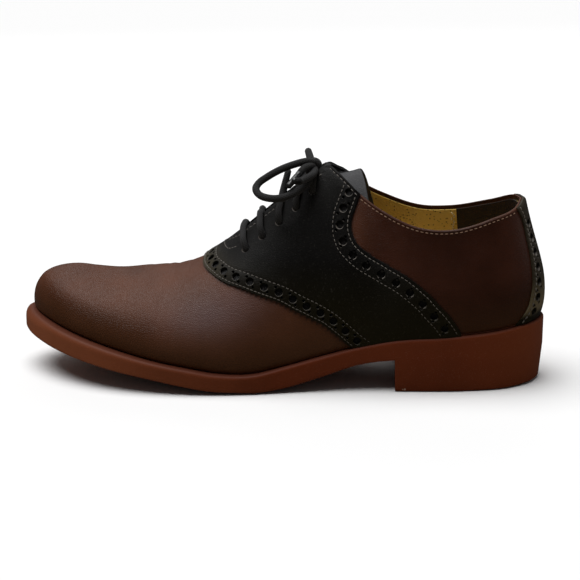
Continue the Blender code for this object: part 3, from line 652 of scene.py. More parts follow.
# The backstay's edge: rise, guide
BACKSTAY = np.array((
    (0.0, 22.0), (0.1, 17.5), (0.25, 15.0), (0.5, 12.7), (0.75, 11.0), (0.92, 11.2), (1.0, 14.0)))
# Near black under the saddle and backstay, an underlay seen through their holes; it reaches 1 mm past the
# saddle's front and back edges as a painted shadow line on the upper
underlay_and_edge_shadow_mask = (fade(np.interp(rises, FRONT_EDGE[:, 1], FRONT_EDGE[:, 0]) - guides, -1.0, 0.3)
           * fade(guides - np.interp(rises, BACK_EDGE[:, 1], BACK_EDGE[:, 0]), -1.0, 0.3))
underlay_and_edge_shadow_mask = np.maximum(underlay_and_edge_shadow_mask, fade(smooth(BACKSTAY[:, 0], BACKSTAY[:, 1], rises) - guides, 0.3, 1.5)
                     * fade(1.0 - rises, 0.01, 0.03))

BROWN, brown = finish_of("brown_leather", 0.42, Specular_IOR_Level=0.20, Coat_Weight=0.02,
                         Coat_Roughness=0.30)
tone, skin = handled(brown, 26.0, 800.0), grain(brown, 950.0, 110.0)
vamp = mixed(brown, tone["Tone"], (0.074, 0.0235, 0.0095), (0.112, 0.0370, 0.0165))
# painted sheen: a greyish-purple patch on the vamp's side behind the saddle stands in for a reflection
vamp = mixed(brown, read(brown, "painted_sheen"), vamp, (0.145, 0.100, 0.104), 0.55)
# painted shade: a dark band across the toe's side, below where the highlight falls
vamp = mixed(brown, read(brown, "toe_painted_shade"), vamp, (0.030, 0.0095, 0.0030), 0.58)
# the quarters are darker: partly a deeper red-brown leather tone, partly painted shade on the upright sides
rear_tone_and_shade = mixed(brown, tone["Tone"], (0.030, 0.0070, 0.0022), (0.054, 0.0130, 0.0045))
look = mixed(brown, read(brown, "quarter_tone_and_shade"), vamp, rear_tone_and_shade)
# painted shade: the upper darkens to an olive brown towards the sole
look = mixed(brown, read(brown, "foot"), look, (0.050, 0.0180, 0.0032), 0.7)
look = mixed(brown, skin["Pores"], look, (0.020, 0.008, 0.005), 0.22)
# painted highlight: the turned collar edge is painted lighter, where light catches its roll
look = mixed(brown, read(brown, "turned"), look, (0.14, 0.060, 0.030), 0.3)
# near black underlay under the overlays, and a painted shadow line along the saddle's edges
look = mixed(brown, read(brown, "underlay_and_edge_shadow"), look, (0.006, 0.005, 0.005))
dress(brown, look, (skin["Height"], 0.5, 0.0005), (tone["Tone"], 0.36, 0.48))

upper_shades = {"foot": hump(rises, 0.0, 0.24), "underlay_and_edge_shadow": underlay_and_edge_shadow_mask, "quarter_tone_and_shade": 1.0 - fade(guides, 90.0, 125.0),
                "turned": collar * brink(from_top, TURN_WIDE),
                "painted_sheen": hump(guides, 187.0, 27.0) * hump(rises, 0.36, 0.15),
                "toe_painted_shade": hump(guides, 257.0, 34.0) * hump(rises, 0.28, 0.13)}
upper_points, upper_loops = walled(points, faces, normal, -LEATHER_THICK, lift)


def object_in(tree, socket, single=False):
    return add(tree, "GeometryNodeObjectInfo", {"Object": socket, "As Instance": single},
               transform_space="ORIGINAL").outputs["Geometry"]


def vector_in(tree, name):
    made = add(tree, "GeometryNodeInputNamedAttribute", {"Name": name}, data_type="FLOAT_VECTOR")
    return made.outputs["Attribute"]


# Copies of one shape on marks, made real
def copies(tree, marks, shape, rotation, size):
    laid = add(tree, "GeometryNodeInstanceOnPoints", {
        "Points": marks, "Instance": shape, "Rotation": rotation, "Scale": size})
    whole = add(tree, "GeometryNodeRealizeInstances", {"Geometry": laid.outputs["Instances"]})
    return whole.outputs["Geometry"]


# A tool that punches holes through leather: marks carry each hole's size and the way out of the leather
PUNCH, given, put = tree_of("punch", "GeometryNodeTree", {
    "Leather": "Geometry", "Marks": "Object", "Punch": "Object", "Finish": "Material"},
    {"Leather": "Geometry"})
turn = add(PUNCH, "FunctionNodeAlignRotationToVector", {"Vector": vector_in(PUNCH, "out")}, axis="Z")
struck = copies(PUNCH, object_in(PUNCH, given["Marks"]), object_in(PUNCH, given["Punch"], True),
                turn.outputs["Rotation"], vector_in(PUNCH, "size"))
cut = add(PUNCH, "GeometryNodeMeshBoolean", {"Mesh 1": given["Leather"], "Mesh 2": struck},
          operation="DIFFERENCE", solver="MANIFOLD")
dyed = add(PUNCH, "GeometryNodeSetMaterial", {"Geometry": cut.outputs["Mesh"], "Material": given["Finish"]})
PUNCH.links.new(dyed.outputs["Geometry"], put["Leather"])


# A scratch object in the frame's own metres
def bare(name, points, faces=()):
    mesh = bpy.data.meshes.new(name)
    mesh.from_pydata([tuple(p) for p in points], [], [list(f) for f in faces])
    return linked(name, mesh)


# Bare marks on the shoe, with one vector for each mark under each name
def marks_object(points, **vectors):
    obj = bare("marks", to_frame(points))
    for key, value in vectors.items():
        named = obj.data.attributes.new(key, "FLOAT_VECTOR", "POINT")
        named.data.foreach_set("vector", np.asarray(value, np.float32).ravel())
    return obj


# The mesh that a tree makes of an object; the modifier and the scratch objects go
def worked(obj, tree, inputs, scrap):
    step = obj.modifiers.new(tree.name, "NODES")
    step.node_group = tree
    for item in tree.interface.items_tree:
        if item.in_out == "INPUT" and item.name in inputs:
            step[item.identifier] = inputs[item.name]
    bpy.context.view_layer.update()
    seen = obj.evaluated_get(bpy.context.evaluated_depsgraph_get())
    mesh = bpy.data.meshes.new_from_object(seen)
    obj.modifiers.remove(step)
    for thing in scrap:
        bpy.data.objects.remove(thing, do_unlink=True)
    return mesh


# Faces round a stack of rings of n points, closed at both ends
def round_faces(rings, n):
    wall = [(k * n + i, k * n + (i + 1) % n, (k + 1) * n + (i + 1) % n, (k + 1) * n + i)
            for k in range(rings - 1) for i in range(n)]
    return wall + [tuple(range(n))[::-1], tuple((rings - 1) * n + i for i in range(n))]


# The punch: unit radius and a flared shoulder just under the leather's face, pointing out along Z
def punch_shape(shoulder, flare, depth):
    around = np.linspace(0.0, 2 * math.pi, 21)[:-1]
    rings = ((1.0, -depth), (1.0, -shoulder), (1.0 + flare, 0.12), (1.0 + 1.6 * flare, 1.2))
    points = [(r * math.cos(a), r * math.sin(a), z * MM) for r, z in rings for a in around]
    obj = bare("punch_shape", points, round_faces(len(rings), len(around)))
    raw = obj.data.attributes.new("cut", "FLOAT", "FACE")
    raw.data.foreach_set("value", np.ones(len(obj.data.polygons), np.float32))
    return obj


# A closed wall of leather with holes through it: points on its face, directions out of it, radii
def punched(name, points, loops, holes, punch, finish, replaced, values, sharp):
    marks, out, radii = holes
    uncut = linked("uncut", mesh_of(points, loops, {key: np.tile(value, 2) for key, value in values.items()}))
    size = np.stack((radii * MM, radii * MM, np.ones(len(radii))), 1)
    where = marks_object(marks, out=to_frame_direction(out), size=size)
    tool = punch_shape(*punch)
    cut = worked(uncut, PUNCH, {"Marks": where, "Punch": tool, "Finish": finish}, (where, tool, uncut))
    # the raw edge's paler colour is kept only on the rims that face up: the leather's own cut edge, shown as
    # a painted highlight where light falls from above
    facing, raw = np.empty(3 * len(cut.polygons), np.float32), np.empty(len(cut.polygons), np.float32)
    cut.polygons.foreach_get("normal", facing)
    cut.attributes["cut"].data.foreach_get("value", raw)
    raw = raw * fade(facing.reshape(-1, 3)[:, 2], 0.15, 0.70)
    cut.attributes["cut"].data.foreach_set("value", raw.astype(np.float32))
    return settle(name, cut, finish, replaced, sharp)


GUIDE_STEP, RISE_STEP = 0.2, 0.002


# Points of the leather surface with the directions along the guide, up the rise and out
def on_last(side, guide, rise, lift=0.0, table=TOP):
    guide, rise = np.asarray(guide, float), np.asarray(rise, float)
    p = last(side, guide, rise, table)
    along = last(side, guide + GUIDE_STEP, rise, table) - last(side, guide - GUIDE_STEP, rise, table)
    up = last(side, guide, rise + RISE_STEP, table) - last(side, guide, rise - RISE_STEP, table)
    along, up = along / (2 * GUIDE_STEP), up / (2 * RISE_STEP)
    out = np.cross(along, up) if side == LATERAL else np.cross(up, along)
    out = out / np.linalg.norm(out, axis=-1, keepdims=True)
    return p + out * np.asarray(lift)[..., None], along, up, out


EYELETS = np.array(((170.4, 0.765), (161.0, 0.780), (151.6, 0.797), (142.2, 0.815), (133.0, 0.850)))
EYELET = 4.4
SADDLE_TOP = 1.9
# Punches: depth and flare of the shoulder, depth of the hole
EYELET_PUNCH, BROGUE_PUNCH = (0.5, 0.10, 6.0), (0.5, 0.22, 3.2)


# Holes at marks of guide and rise: points at a height over the upper, directions out of it, radii
def holes_at(side, marks, radius, lift):
    p, along, up, out = on_last(side, marks[:, 0], marks[:, 1], lift)
    return p, out, np.full(len(p), radius)


def joined(parts):
    return [np.concatenate(column) for column in zip(*parts)]


eyelet_marks = np.stack((EYELETS[:, 0], EYELETS[:, 1] * throat(EYELETS[:, 0])), 1)
EYELET_HOLES = joined([holes_at(side, eyelet_marks, EYELET / 2, SADDLE_TOP) for side in SIDES])
punched("vamp_and_quarters", upper_points, upper_loops, EYELET_HOLES, EYELET_PUNCH, BROWN,
        ("upper",), upper_shades, 50.0)


# Lining and heel grip.
# Mustard calf with open pores is glued inside the quarters and vamp; a darker brown patch of the same
# leather grips the heel, its edge held by a zigzag seam.
LINING_IN, LINING_OUT = -2.15, -1.34
columns = np.concatenate((np.linspace(0.0, 0.94, 30), np.linspace(0.94, 0.967, 4)[1:]))
points, faces, normal, guides, rises, sides = net_of(guides_of(24, 111, 26), columns)
faced = fade(guides, 103.0, 108.0) * (1 - fade(guides, 186.0, 190.0)) * fade(rises, 0.45, 0.50)
sunk = RUBBED_IN * toe_crest(guides, rises)
points, loops = walled(points, faces, normal, LINING_IN - sunk, LINING_OUT - sunk)
punched("lining", points, loops, EYELET_HOLES, EYELET_PUNCH, MUSTARD, (),
        {"faced": faced}, 50.0)

GRIP, grip = finish_of("heel_grip_leather", 0.7)
tone, skin = handled(grip, 60.0, 700.0), grain(grip, 700.0, 120.0)
look = mixed(grip, tone["Tone"], (0.009, 0.0030, 0.0015), (0.018, 0.0060, 0.0030))
dress(grip, look, (skin["Height"], 0.4, 0.0005))
GRIP_IN, GRIP_OUT = -2.75, -2.2


# The grip's front edge leans back towards the sole
def grip_edge(rises):
    return 50.8 - 5.0 * (1 - rises)


rises = np.linspace(0.06, 0.975, 40)
guides = HEEL_TIP + (grip_edge(rises) - HEEL_TIP) * np.linspace(0.0, 1.0, 40)[:, None]
points, faces, normal, guides, rises, sides = both_sides(guides, rises, grid_faces(40, 40))
points, loops = walled(points, faces, normal, GRIP_IN, GRIP_OUT)
settle("heel_grip", mesh_of(points, loops), GRIP)


# Saddle.
# Black calf cut as one piece across the vamp and split at the throat, laid over the upper and stitched
# down along both edges between rows of brogue punching. The eyelets are punched without metal.
THROAT_END = 180.5
PANEL_STEP, STRIPE = 0.7, 12.0


# A panel cut along a closed outline of guide and rise, filled with even triangles, closer near its edges
def cut_panel(runs, step, coarse, stripe):
    loop = []
    for run in runs:
        run = np.array(run) * (1.0, RISE_SPAN)
        chord = lengths(run)
        even = np.linspace(0.0, chord[-1], max(2, int(round(chord[-1] / step)) + 1))[:-1]
        loop += list(zip(np.interp(even, chord, run[:, 0]), np.interp(even, chord, run[:, 1])))
    loop = np.array(loop)
    low, high = loop.min(axis=0), loop.max(axis=0)
    inside = []
    for row, v in enumerate(np.arange(low[1], high[1], step * 0.866)):
        line = np.arange(low[0] + step / 2 * (row % 2), high[0], step)
        near = np.min(np.hypot(loop[None, :, 0] - line[:, None], loop[None, :, 1] - v), axis=1)
        sparse = (row % coarse == 0) & (np.arange(len(line)) % coarse == 0)
        chosen = (near > 0.6 * step) & ((near < stripe) | sparse)
        inside += [(u, v) for u in line[chosen]]
    edges = [(k, (k + 1) % len(loop)) for k in range(len(loop))]
    flat = [Vector(p) for p in loop.tolist() + inside]
    points, _, faces, *_ = delaunay_2d_cdt(flat, edges, [], 1, 1e-5)
    faces = np.array([list(f) for f in faces])
    kept, place = np.unique(faces, return_inverse=True)
    points = np.array([tuple(p) for p in points])[kept]
    return points[:, 0], points[:, 1] / RISE_SPAN, place.reshape(faces.shape)


facing = np.linspace(THROAT_END, BACK_EDGE[-1, 0], 160)
FACING_EDGE = np.stack((facing, throat(facing)), 1)
foot = np.stack((np.linspace(BACK_EDGE[0, 0], FRONT_EDGE[0, 0], 40), np.zeros(40)), 1)
guide, rise, faces = cut_panel((foot, FRONT_EDGE, (FRONT_EDGE[-1], (THROAT_END, 1.0)), FACING_EDGE,
                                BACK_EDGE[::-1]), PANEL_STEP, 3, STRIPE)
points, faces, normal, guides, rises, sides = both_sides(guide, rise, faces)


# Distance of every point from the nearest of some others
def nearest(points, others):
    away = np.empty(len(points))
    for part in np.array_split(np.arange(len(points)), max(1, len(points) // 2000)):
        away[part] = np.sqrt(np.min(np.sum((points[part][:, None] - others[None]) ** 2, axis=2), axis=1))
    return away


# The same from a line of guide and rise, for each point on its own side of the shoe
def from_line(points, sides, line):
    away = np.empty(len(points))
    for side in SIDES:
        away[sides == side] = nearest(points[sides == side], last(side, line[:, 0], line[:, 1]))
    return away


EDGE_TOP, EDGE_WIDE = 1.25, 6.0
ROUND_WIDE, ROUND_DEEP = 0.5, 0.45
SEAM_WIDE, SEAM_DEEP = 0.5, 0.20


# Leather laid over leather: thinner and rounded at its cut edge, sunk along each stitch row
def overlay_lift(away, rows, edge_top=EDGE_TOP):
    lift = edge_top + (SADDLE_TOP - edge_top) * fade(away, 0.0, EDGE_WIDE)
    lift -= ROUND_DEEP * (1 - np.sqrt(1 - brink(away, ROUND_WIDE) ** 2))
    for row in rows:
        lift -= SEAM_DEEP * hump(away, row, SEAM_WIDE)
    return lift


FRONT_ROWS, FRONT_HOLES, FRONT_PITCH = (1.3, 9.1), 5.2, 8.65
BACK_ROWS, BACK_HOLES, BACK_PITCH = (1.9, 10.2), 6.1, 9.5
FACING_ROW, TOP_ROW, TOP_FROM = 4.0, 1.7, 127.0
FACING_TOP = 1.7
OVERLAP = 0.05
front_away = from_line(points, sides, FRONT_EDGE)
back_away = from_line(points, sides, BACK_EDGE)
facing_away = from_line(points, sides, FACING_EDGE)
lift = np.minimum(overlay_lift(front_away, FRONT_ROWS), overlay_lift(back_away, BACK_ROWS))
facing_lift = np.where(guides > TOP_FROM, overlay_lift(facing_away, (FACING_ROW,), FACING_TOP),
                       overlay_lift(facing_away, (TOP_ROW,), FACING_TOP))
lift = np.minimum(lift, facing_lift)
saddle_points, saddle_loops = walled(points, faces, normal, OVERLAP, lift)
# painted light: a pale warm sheen on the upper part of the saddle's front band, along its edge
front_band_painted_light = 0.34 * hump(front_away, 0.0, 9.0) * fade(rises, 0.50, 0.85)


# A line moved sideways over the leather; plus is towards the toe for a line that climbs from the sole.
# It can be drawn on at both ends first, and stops short of the top line
def beside(side, line, shift, drawn_on=0.0, short=1.2):
    line = np.array(line, float)
    if drawn_on:
        first, final = line[0] - line[4], line[-1] - line[-5]
        more = np.linspace(0.0, drawn_on, 20)[1:, None]
        ends = [tip / np.linalg.norm(tip * (1.0, LAST_HIGH)) * more for tip in (first, final)]
        line = np.vstack((line[0] + ends[0][::-1], line, line[-1] + ends[1]))
    for _ in range(4):
        p, along, up, out = on_last(side, line[:, 0], line[:, 1])
        run = np.gradient(p, axis=0)
        run = run / np.linalg.norm(run, axis=1, keepdims=True)
        aside = np.cross(run, out) if side == LATERAL else np.cross(out, run)
        aa, au, uu = [np.sum(a * b, axis=1) for a, b in ((along, along), (along, up), (up, up))]
        sa, su = np.sum(aside * along, axis=1), np.sum(aside * up, axis=1)
        det = aa * uu - au * au
        line = line + np.stack(((sa * uu - su * au) / det, (su * aa - sa * au) / det), 1) * shift / 4
        line[:, 1] = np.clip(line[:, 1], -0.3, 1.2)
    kept = (line[:, 1] > 0.012) & ((throat(line[:, 0]) - line[:, 1]) * LAST_HIGH > short)
    return line[kept]


# Even marks along a line on one side: guide and rise of each
def stepped(side, line, pitch, start=0.5):
    chord = lengths(last(side, line[:, 0], line[:, 1]))
    at = np.arange(start * pitch, chord[-1], pitch)
    return np.stack((np.interp(at, chord, line[:, 0]), np.interp(at, chord, line[:, 1])), 1)


BIG_HOLE, SMALL_HOLE, PAIR = 2.1, 0.75, 2.1
HOLE_LIFT = 1.8
DRAWN_ON = 14.0


# Brogue punching along a line: big holes, and between them a pair of small ones across the line
def brogue(side, edge, shift, pitch, start, short):
    found = [(stepped(side, beside(side, edge, shift, DRAWN_ON, short)[::-1], pitch, start), BIG_HOLE)]
    for across in (-PAIR, PAIR):
        line = beside(side, edge, shift + across, DRAWN_ON, short)[::-1]
        found.append((stepped(side, line, pitch, start + 0.5), SMALL_HOLE))
    return found


holes = []
for side in SIDES:
    found = (brogue(side, FRONT_EDGE, -FRONT_HOLES, FRONT_PITCH, 0.5, 0.0)
             + brogue(side, BACK_EDGE, BACK_HOLES, BACK_PITCH, 0.05, 5.5))
    holes += [holes_at(side, marks, radius, HOLE_LIFT) for marks, radius in found]
holes = joined(holes + [EYELET_HOLES])

BLACK, black = finish_of("black_leather", 0.42, Specular_IOR_Level=0.09, Coat_Weight=0.01,
                         Coat_Roughness=0.35)
tone, skin = handled(black, 28.0, 900.0), grain(black, 900.0, 130.0)
low = ramp(black, place_along(black, "Z"), 0.075, 0.030)
# painted light: warm paler colour on the saddle's front band and over the backstay, with more pale specks
# where it lies
painted_light = read(black, "painted_light")
specked = maths(black, "ADD", 0.12, maths(black, "MULTIPLY", painted_light, 0.6))
shown = maths(black, "SUBTRACT", 1.0, maths(black, "MULTIPLY", low, 0.75))
look = mixed(black, tone["Tone"], (0.0032, 0.0029, 0.0026), (0.0068, 0.0064, 0.0062))
look = mixed(black, low, look, (0.0150, 0.0120, 0.0024), 0.8)
look = mixed(black, painted_light, look, (0.145, 0.118, 0.070), 0.85)
look = mixed(black, tone["Specks"], look, (0.10, 0.094, 0.082), specked)
# paler raw edge on the up-facing hole rims: the cut edge's own colour and a painted highlight
look = mixed(black, read(black, "cut"), look, (0.15, 0.135, 0.12), shown)
dress(black, look, (skin["Height"], 0.35, 0.0004), (tone["Tone"], 0.38, 0.52))
punched("saddle_leather", saddle_points, saddle_loops, holes, BROGUE_PUNCH, BLACK,
        ("saddle",), {"painted_light": front_band_painted_light}, 40.0)


# Backstay.
# A strip of the same black calf over the back seam, flared towards the sole and stitched and punched
# along both edges; its top is turned over the collar.
STAY_ROW, STAY_HOLES, STAY_PITCH = 2.0, 5.3, 8.4
STAY_HIGH = 70.0
share = np.linspace(0.004, 1.0, 160)
stay_edge = np.stack((smooth(BACKSTAY[:, 0], BACKSTAY[:, 1], share), share), 1)
foot = ((HEEL_TIP, share[0]), (stay_edge[0, 0], share[0]))
guide, rise, faces = cut_panel((foot, stay_edge, ((stay_edge[-1, 0], 1.0), (HEEL_TIP, 1.0)),
                                ((HEEL_TIP, 1.0), (HEEL_TIP, share[0]))), PANEL_STEP, 1, STRIPE)
points, faces, normal, guides, rises, sides = both_sides(guide, rise, faces)
lift = overlay_lift(from_line(points, sides, stay_edge), (STAY_ROW,))
lift -= 0.7 * brink((1 - rises) * STAY_HIGH, 1.2) ** 2
lift -= 0.8 * brink(rises, 0.16) ** 2
points, loops = walled(points, faces, normal, OVERLAP, lift)
holes = []
for side in SIDES:
    for marks, radius in brogue(side, stay_edge, -STAY_HOLES, STAY_PITCH, 0.85, 4.5):
        marks = marks[(marks[:, 1] < 0.95) & (marks[:, 1] > 0.05) & (marks[:, 0] > HEEL_TIP + 1.0)]
        holes.append(holes_at(side, marks, radius, HOLE_LIFT))
# painted light over the backstay, strongest on its lower part as a warm glow from the floor, cut to plain
# black at its very foot as painted shadow
backstay_painted_light = (0.24 + 0.76 * (1 - fade(rises, 0.12, 0.42))) * fade(rises, 0.04, 0.11)
punched("backstay_leather", points, loops, joined(holes), BROGUE_PUNCH, BLACK,
        ("backstay",), {"painted_light": backstay_painted_light}, 40.0)


# Stitching.
# Waxed thread in short lockstitches, each sunk at both ends: pale grey along the black pieces and the
# throat, tan round the collar, cream along the heel grip.
SEW, given, put = tree_of("sew_row", "GeometryNodeTree", {
    "Marks": "Geometry", "Stitch": "Object", "Length": "Float", "Thickness": "Float", "Thread": "Material"},
    {"Row": "Geometry"})
laid = add(SEW, "FunctionNodeAlignRotationToVector", {"Vector": vector_in(SEW, "along")}, axis="X")
upright = add(SEW, "FunctionNodeAlignRotationToVector", {
    "Rotation": laid.outputs["Rotation"], "Vector": vector_in(SEW, "out")}, axis="Z", pivot_axis="X")
size = add(SEW, "ShaderNodeCombineXYZ", {
    "X": given["Length"], "Y": given["Thickness"], "Z": given["Thickness"]})
row = copies(SEW, given["Marks"], object_in(SEW, given["Stitch"], True), upright.outputs["Rotation"],
             size.outputs["Vector"])
dyed = add(SEW, "GeometryNodeSetMaterial", {"Geometry": row, "Material": given["Thread"]})
SEW.links.new(dyed.outputs["Geometry"], put["Row"])


# One stitch of unit length and thickness: a fat thread that dips at both ends
def stitch_shape():
    steps = ((-0.5, 0.20, -0.55), (-0.38, 0.42, -0.10), (-0.15, 0.50, 0.10), (0.15, 0.50, 0.10),
             (0.38, 0.42, -0.10), (0.5, 0.20, -0.55))
    around = np.linspace(0.0, 2 * math.pi, 8)[:-1]
    points = [(x, r * math.cos(a), z + r * math.sin(a)) for x, r, z in steps for a in around]
    return bare("stitch_shape", points, [f[::-1] for f in round_faces(len(steps), len(around))])


# Rows of stitches: each row is a side, a line of guide and rise, the height over the upper, and a pitch
def sewn(name, rows, thread, length, thickness):
    found = []
    for side, line, lift, pitch in rows:
        marks = stepped(side, line, pitch)
        p, along, up, out = on_last(side, marks[:, 0], marks[:, 1], lift)
        found.append((p, np.gradient(p, axis=0), out))
    p, run, out = joined(found)
    where = marks_object(p, along=to_frame_direction(run), out=to_frame_direction(out))
    shape = stitch_shape()
    mesh = worked(where, SEW, {"Stitch": shape, "Length": length * MM, "Thickness": thickness * MM,
                               "Thread": thread}, (shape, where))
    return settle(name, mesh, thread, (), 60.0)


def thread_of(name, colour, darker):
    made, tree = finish_of(name, 0.7)
    fibre = noise(tree, 2600.0, 2.0)
    low = ramp(tree, place_along(tree, "Z"), 0.085, 0.030, 0.0, 0.75)
    look = mixed(tree, low, mixed(tree, fibre, darker, colour), (0.035, 0.024, 0.015))
    dress(tree, look, (fibre, 0.4, 0.0002))
    return made


PALE_THREAD = thread_of("pale_thread", (0.24, 0.22, 0.20), (0.11, 0.10, 0.09))
TAN_THREAD = thread_of("tan_thread", (0.40, 0.24, 0.16), (0.22, 0.13, 0.085))
CREAM_THREAD = thread_of("cream_thread", (0.88, 0.74, 0.42), (0.62, 0.50, 0.26))
collar_guides = np.linspace(HEEL_TIP, BACK_EDGE[-1, 0], 200)
COLLAR_EDGE = np.stack((collar_guides, np.ones(200)), 1)
# A short row of its own holds the throat's end: guide, rise
THROAT_ROW = np.array(((184.7, 0.990), (184.2, 0.960), (183.7, 0.915), (182.8, 0.873), (181.6, 0.840),
                       (180.0, 0.815), (177.5, 0.795), (175.0, 0.782)))
rows = []
for side in SIDES:
    rows += [(side, beside(side, FRONT_EDGE, -FRONT_ROWS[0], 4.0, 0.0), 1.28, 2.3),
             (side, beside(side, FRONT_EDGE, -FRONT_ROWS[1], DRAWN_ON, 0.0), 1.72, 2.6),
             (side, beside(side, BACK_EDGE, BACK_ROWS[0], DRAWN_ON, 2.6), 1.32, 2.6),
             (side, beside(side, BACK_EDGE, BACK_ROWS[1], DRAWN_ON, 2.6), 1.72, 2.6),
             (side, THROAT_ROW, 1.80, 2.0),
             (side, beside(side, FACING_EDGE[FACING_EDGE[:, 0] > TOP_FROM + 2.0], -FACING_ROW), 1.72, 2.8),
             (side, beside(side, FACING_EDGE[FACING_EDGE[:, 0] < TOP_FROM - 3.0], -TOP_ROW), 1.66, 3.1)]
sewn("saddle_stitching", rows, PALE_THREAD, 1.95, 0.48)
rows = [(side, beside(side, stay_edge, -STAY_ROW), 1.38, 2.8) for side in SIDES]
sewn("backstay_stitching", rows, PALE_THREAD, 2.2, 0.75)
open_collar = (collar_guides > stay_edge[-1, 0] + 1.0) & (collar_guides < BACK_EDGE[-1, 0] - 1.0)
rows = [(side, beside(side, COLLAR_EDGE[open_collar], COLLAR_ROW), 0.05, 2.75) for side in SIDES]
sewn("collar_stitching", rows, TAN_THREAD, 1.8, 0.52)
marks = np.linspace(0.10, 0.95, 26)
zigzag = np.stack((grip_edge(marks) + 0.8 + 3.0 * (np.arange(26) % 2), marks), 1)
fine = np.concatenate([zigzag[k] + (zigzag[k + 1] - zigzag[k]) * np.array((0.25, 0.75))[:, None]
                       for k in range(25)])
sewn("grip_stitching", [(side, fine, -2.5, 2.4) for side in SIDES], CREAM_THREAD, 1.5, 0.8)


# Tongue.
# Soft black leather under the facings, sewn in at the throat's end; its free top stands up behind the
# bow and is pressed in where the lace runs over it.
TONGUE_TOP = np.array((
    (88.0, 88.0, 1.5, 1.5, 129.0, 129.0, 30.0, 2.0, 0.62, 0.0, 2.0),
    (100.0, 100.0, 1.5, 1.5, 127.2, 127.2, 32.0, 2.0, 0.62, 0.0, 2.0),
    (107.0, 107.0, 1.5, 1.5, 125.2, 125.2, 34.0, 2.0, 0.60, 0.0, 2.3),
    (114.0, 114.0, 1.5, 1.5, 123.1, 123.1, 36.0, 2.0, 0.55, 0.0, 3.0),
    (121.0, 121.0, 1.5, 1.5, 122.2, 122.2, 38.0, 1.5, 0.50, 0.0, 4.0)))
TONGUE_DROP = 0.45
under_facings = TOP[TOP[:, 0] > 126.5].copy()
under_facings[:, 4:6] -= TONGUE_DROP * under_facings[:, 10:11]
under_facings[:, 10] *= 1 - TONGUE_DROP
under_facings[0, 4:6] -= 0.9
TONGUE_TOP = np.vstack((TONGUE_TOP, under_facings))
TONGUE_SIDE = np.array(((88.0, 0.52), (110.0, 0.52), (126.0, 0.56), (150.0, 0.62), (192.0, 0.72)))
TONGUE_END_CREST, TONGUE_END_SIDE, TONGUE_FOOT = 109.3, 98.0, 190.0
TONGUE_FACE, TONGUE_BACK = -3.6, -5.4
PRESS_WIDE, PRESS_DEEP = 3.2, 2.2
CORD_STEP = 0.8
LACE = 3.8
BAR_LIFT, EDGE_LIFT = 3.7, 3.1
# Each bar's lean toward the toe where it passes the facing edges, and how far its middle stands off them
LEANS = (1.6, 1.3, -1.7, -3.4, -1.5)
SLACK = np.array(((0.0, 0.0, 0.0), (0.0, 0.0, -2.4), (-3.0, 0.0, 12.5), (0.0, 0.0, 0.0)))


# A smooth path through some stops, as even points
def path_through(stops, spacing):
    stops = np.array(stops, float)
    chord = lengths(stops)
    fine = np.linspace(0.0, chord[-1], 1200)
    dense = np.stack([smooth(chord, stops[:, k], fine) for k in range(3)], 1)
    chord = lengths(dense)
    even = np.linspace(0.0, chord[-1], max(4, int(round(chord[-1] / spacing)) + 1))
    return np.stack([np.interp(even, chord, dense[:, k]) for k in range(3)], 1)


def at_facing(side, guide, share, lift):
    return on_last(side, guide, share * throat(guide), lift)[0]


KNOT = np.array((133.9, -1.2, 122.6))


# The lace from inside an eyelet, out through it and up to the edge of its facing
def out_of(side, number):
    (guide, share), lean = EYELETS[number], LEANS[number]
    return [at_facing(side, guide, share - 0.004, -3.6), at_facing(side, guide, share, 0.6),
            at_facing(side, guide + 0.2 * lean, share + 0.035, BAR_LIFT - 0.4),
            at_facing(side, guide + 0.7 * lean, 0.4 * share + 0.6, BAR_LIFT - 0.1),
            at_facing(side, guide + lean, 1.0, EDGE_LIFT)]


def over_throat(number):
    edges = [at_facing(side, EYELETS[number, 0] + LEANS[number], 1.0, EDGE_LIFT) for side in SIDES]
    return (edges[0] + edges[1]) / 2 + SLACK[number]


def bar(number, side):
    return out_of(side, number) + [over_throat(number)] + out_of(1 - side, number)[::-1]


# Under a facing from one eyelet to another
def hidden_run(side, number, other):
    guide, share = (EYELETS[number] + EYELETS[other]) / 2
    return [at_facing(side, guide, share + 0.03, -4.3)]


def to_knot(side):
    sign = -1.0 if side == LATERAL else 1.0
    return out_of(side, 4)[:-1] + [KNOT + np.array((0.4, sign * 2.4, -1.4))]


# Straight lacing: the lace starts at the first bar, and both halves run under the facings between bars
under_throat = (at_facing(LATERAL, 142.0, 0.99, -3.6) + at_facing(MEDIAL, 138.0, 0.99, -3.6)) / 2 - UP * 0.6
near_half = ([over_throat(0)] + out_of(LATERAL, 0)[::-1] + hidden_run(LATERAL, 0, 1) + bar(1, LATERAL)
             + hidden_run(MEDIAL, 1, 3) + bar(3, MEDIAL) + hidden_run(LATERAL, 3, 4) + to_knot(LATERAL))
far_half = ([over_throat(0)] + out_of(MEDIAL, 0)[::-1] + hidden_run(MEDIAL, 0, 2) + bar(2, MEDIAL)
            + [at_facing(LATERAL, 146.0, 0.92, -4.4), under_throat, at_facing(MEDIAL, 135.5, 0.93, -4.4)]
            + to_knot(MEDIAL))
lacing = [path_through(half, CORD_STEP) for half in (near_half, far_half)]

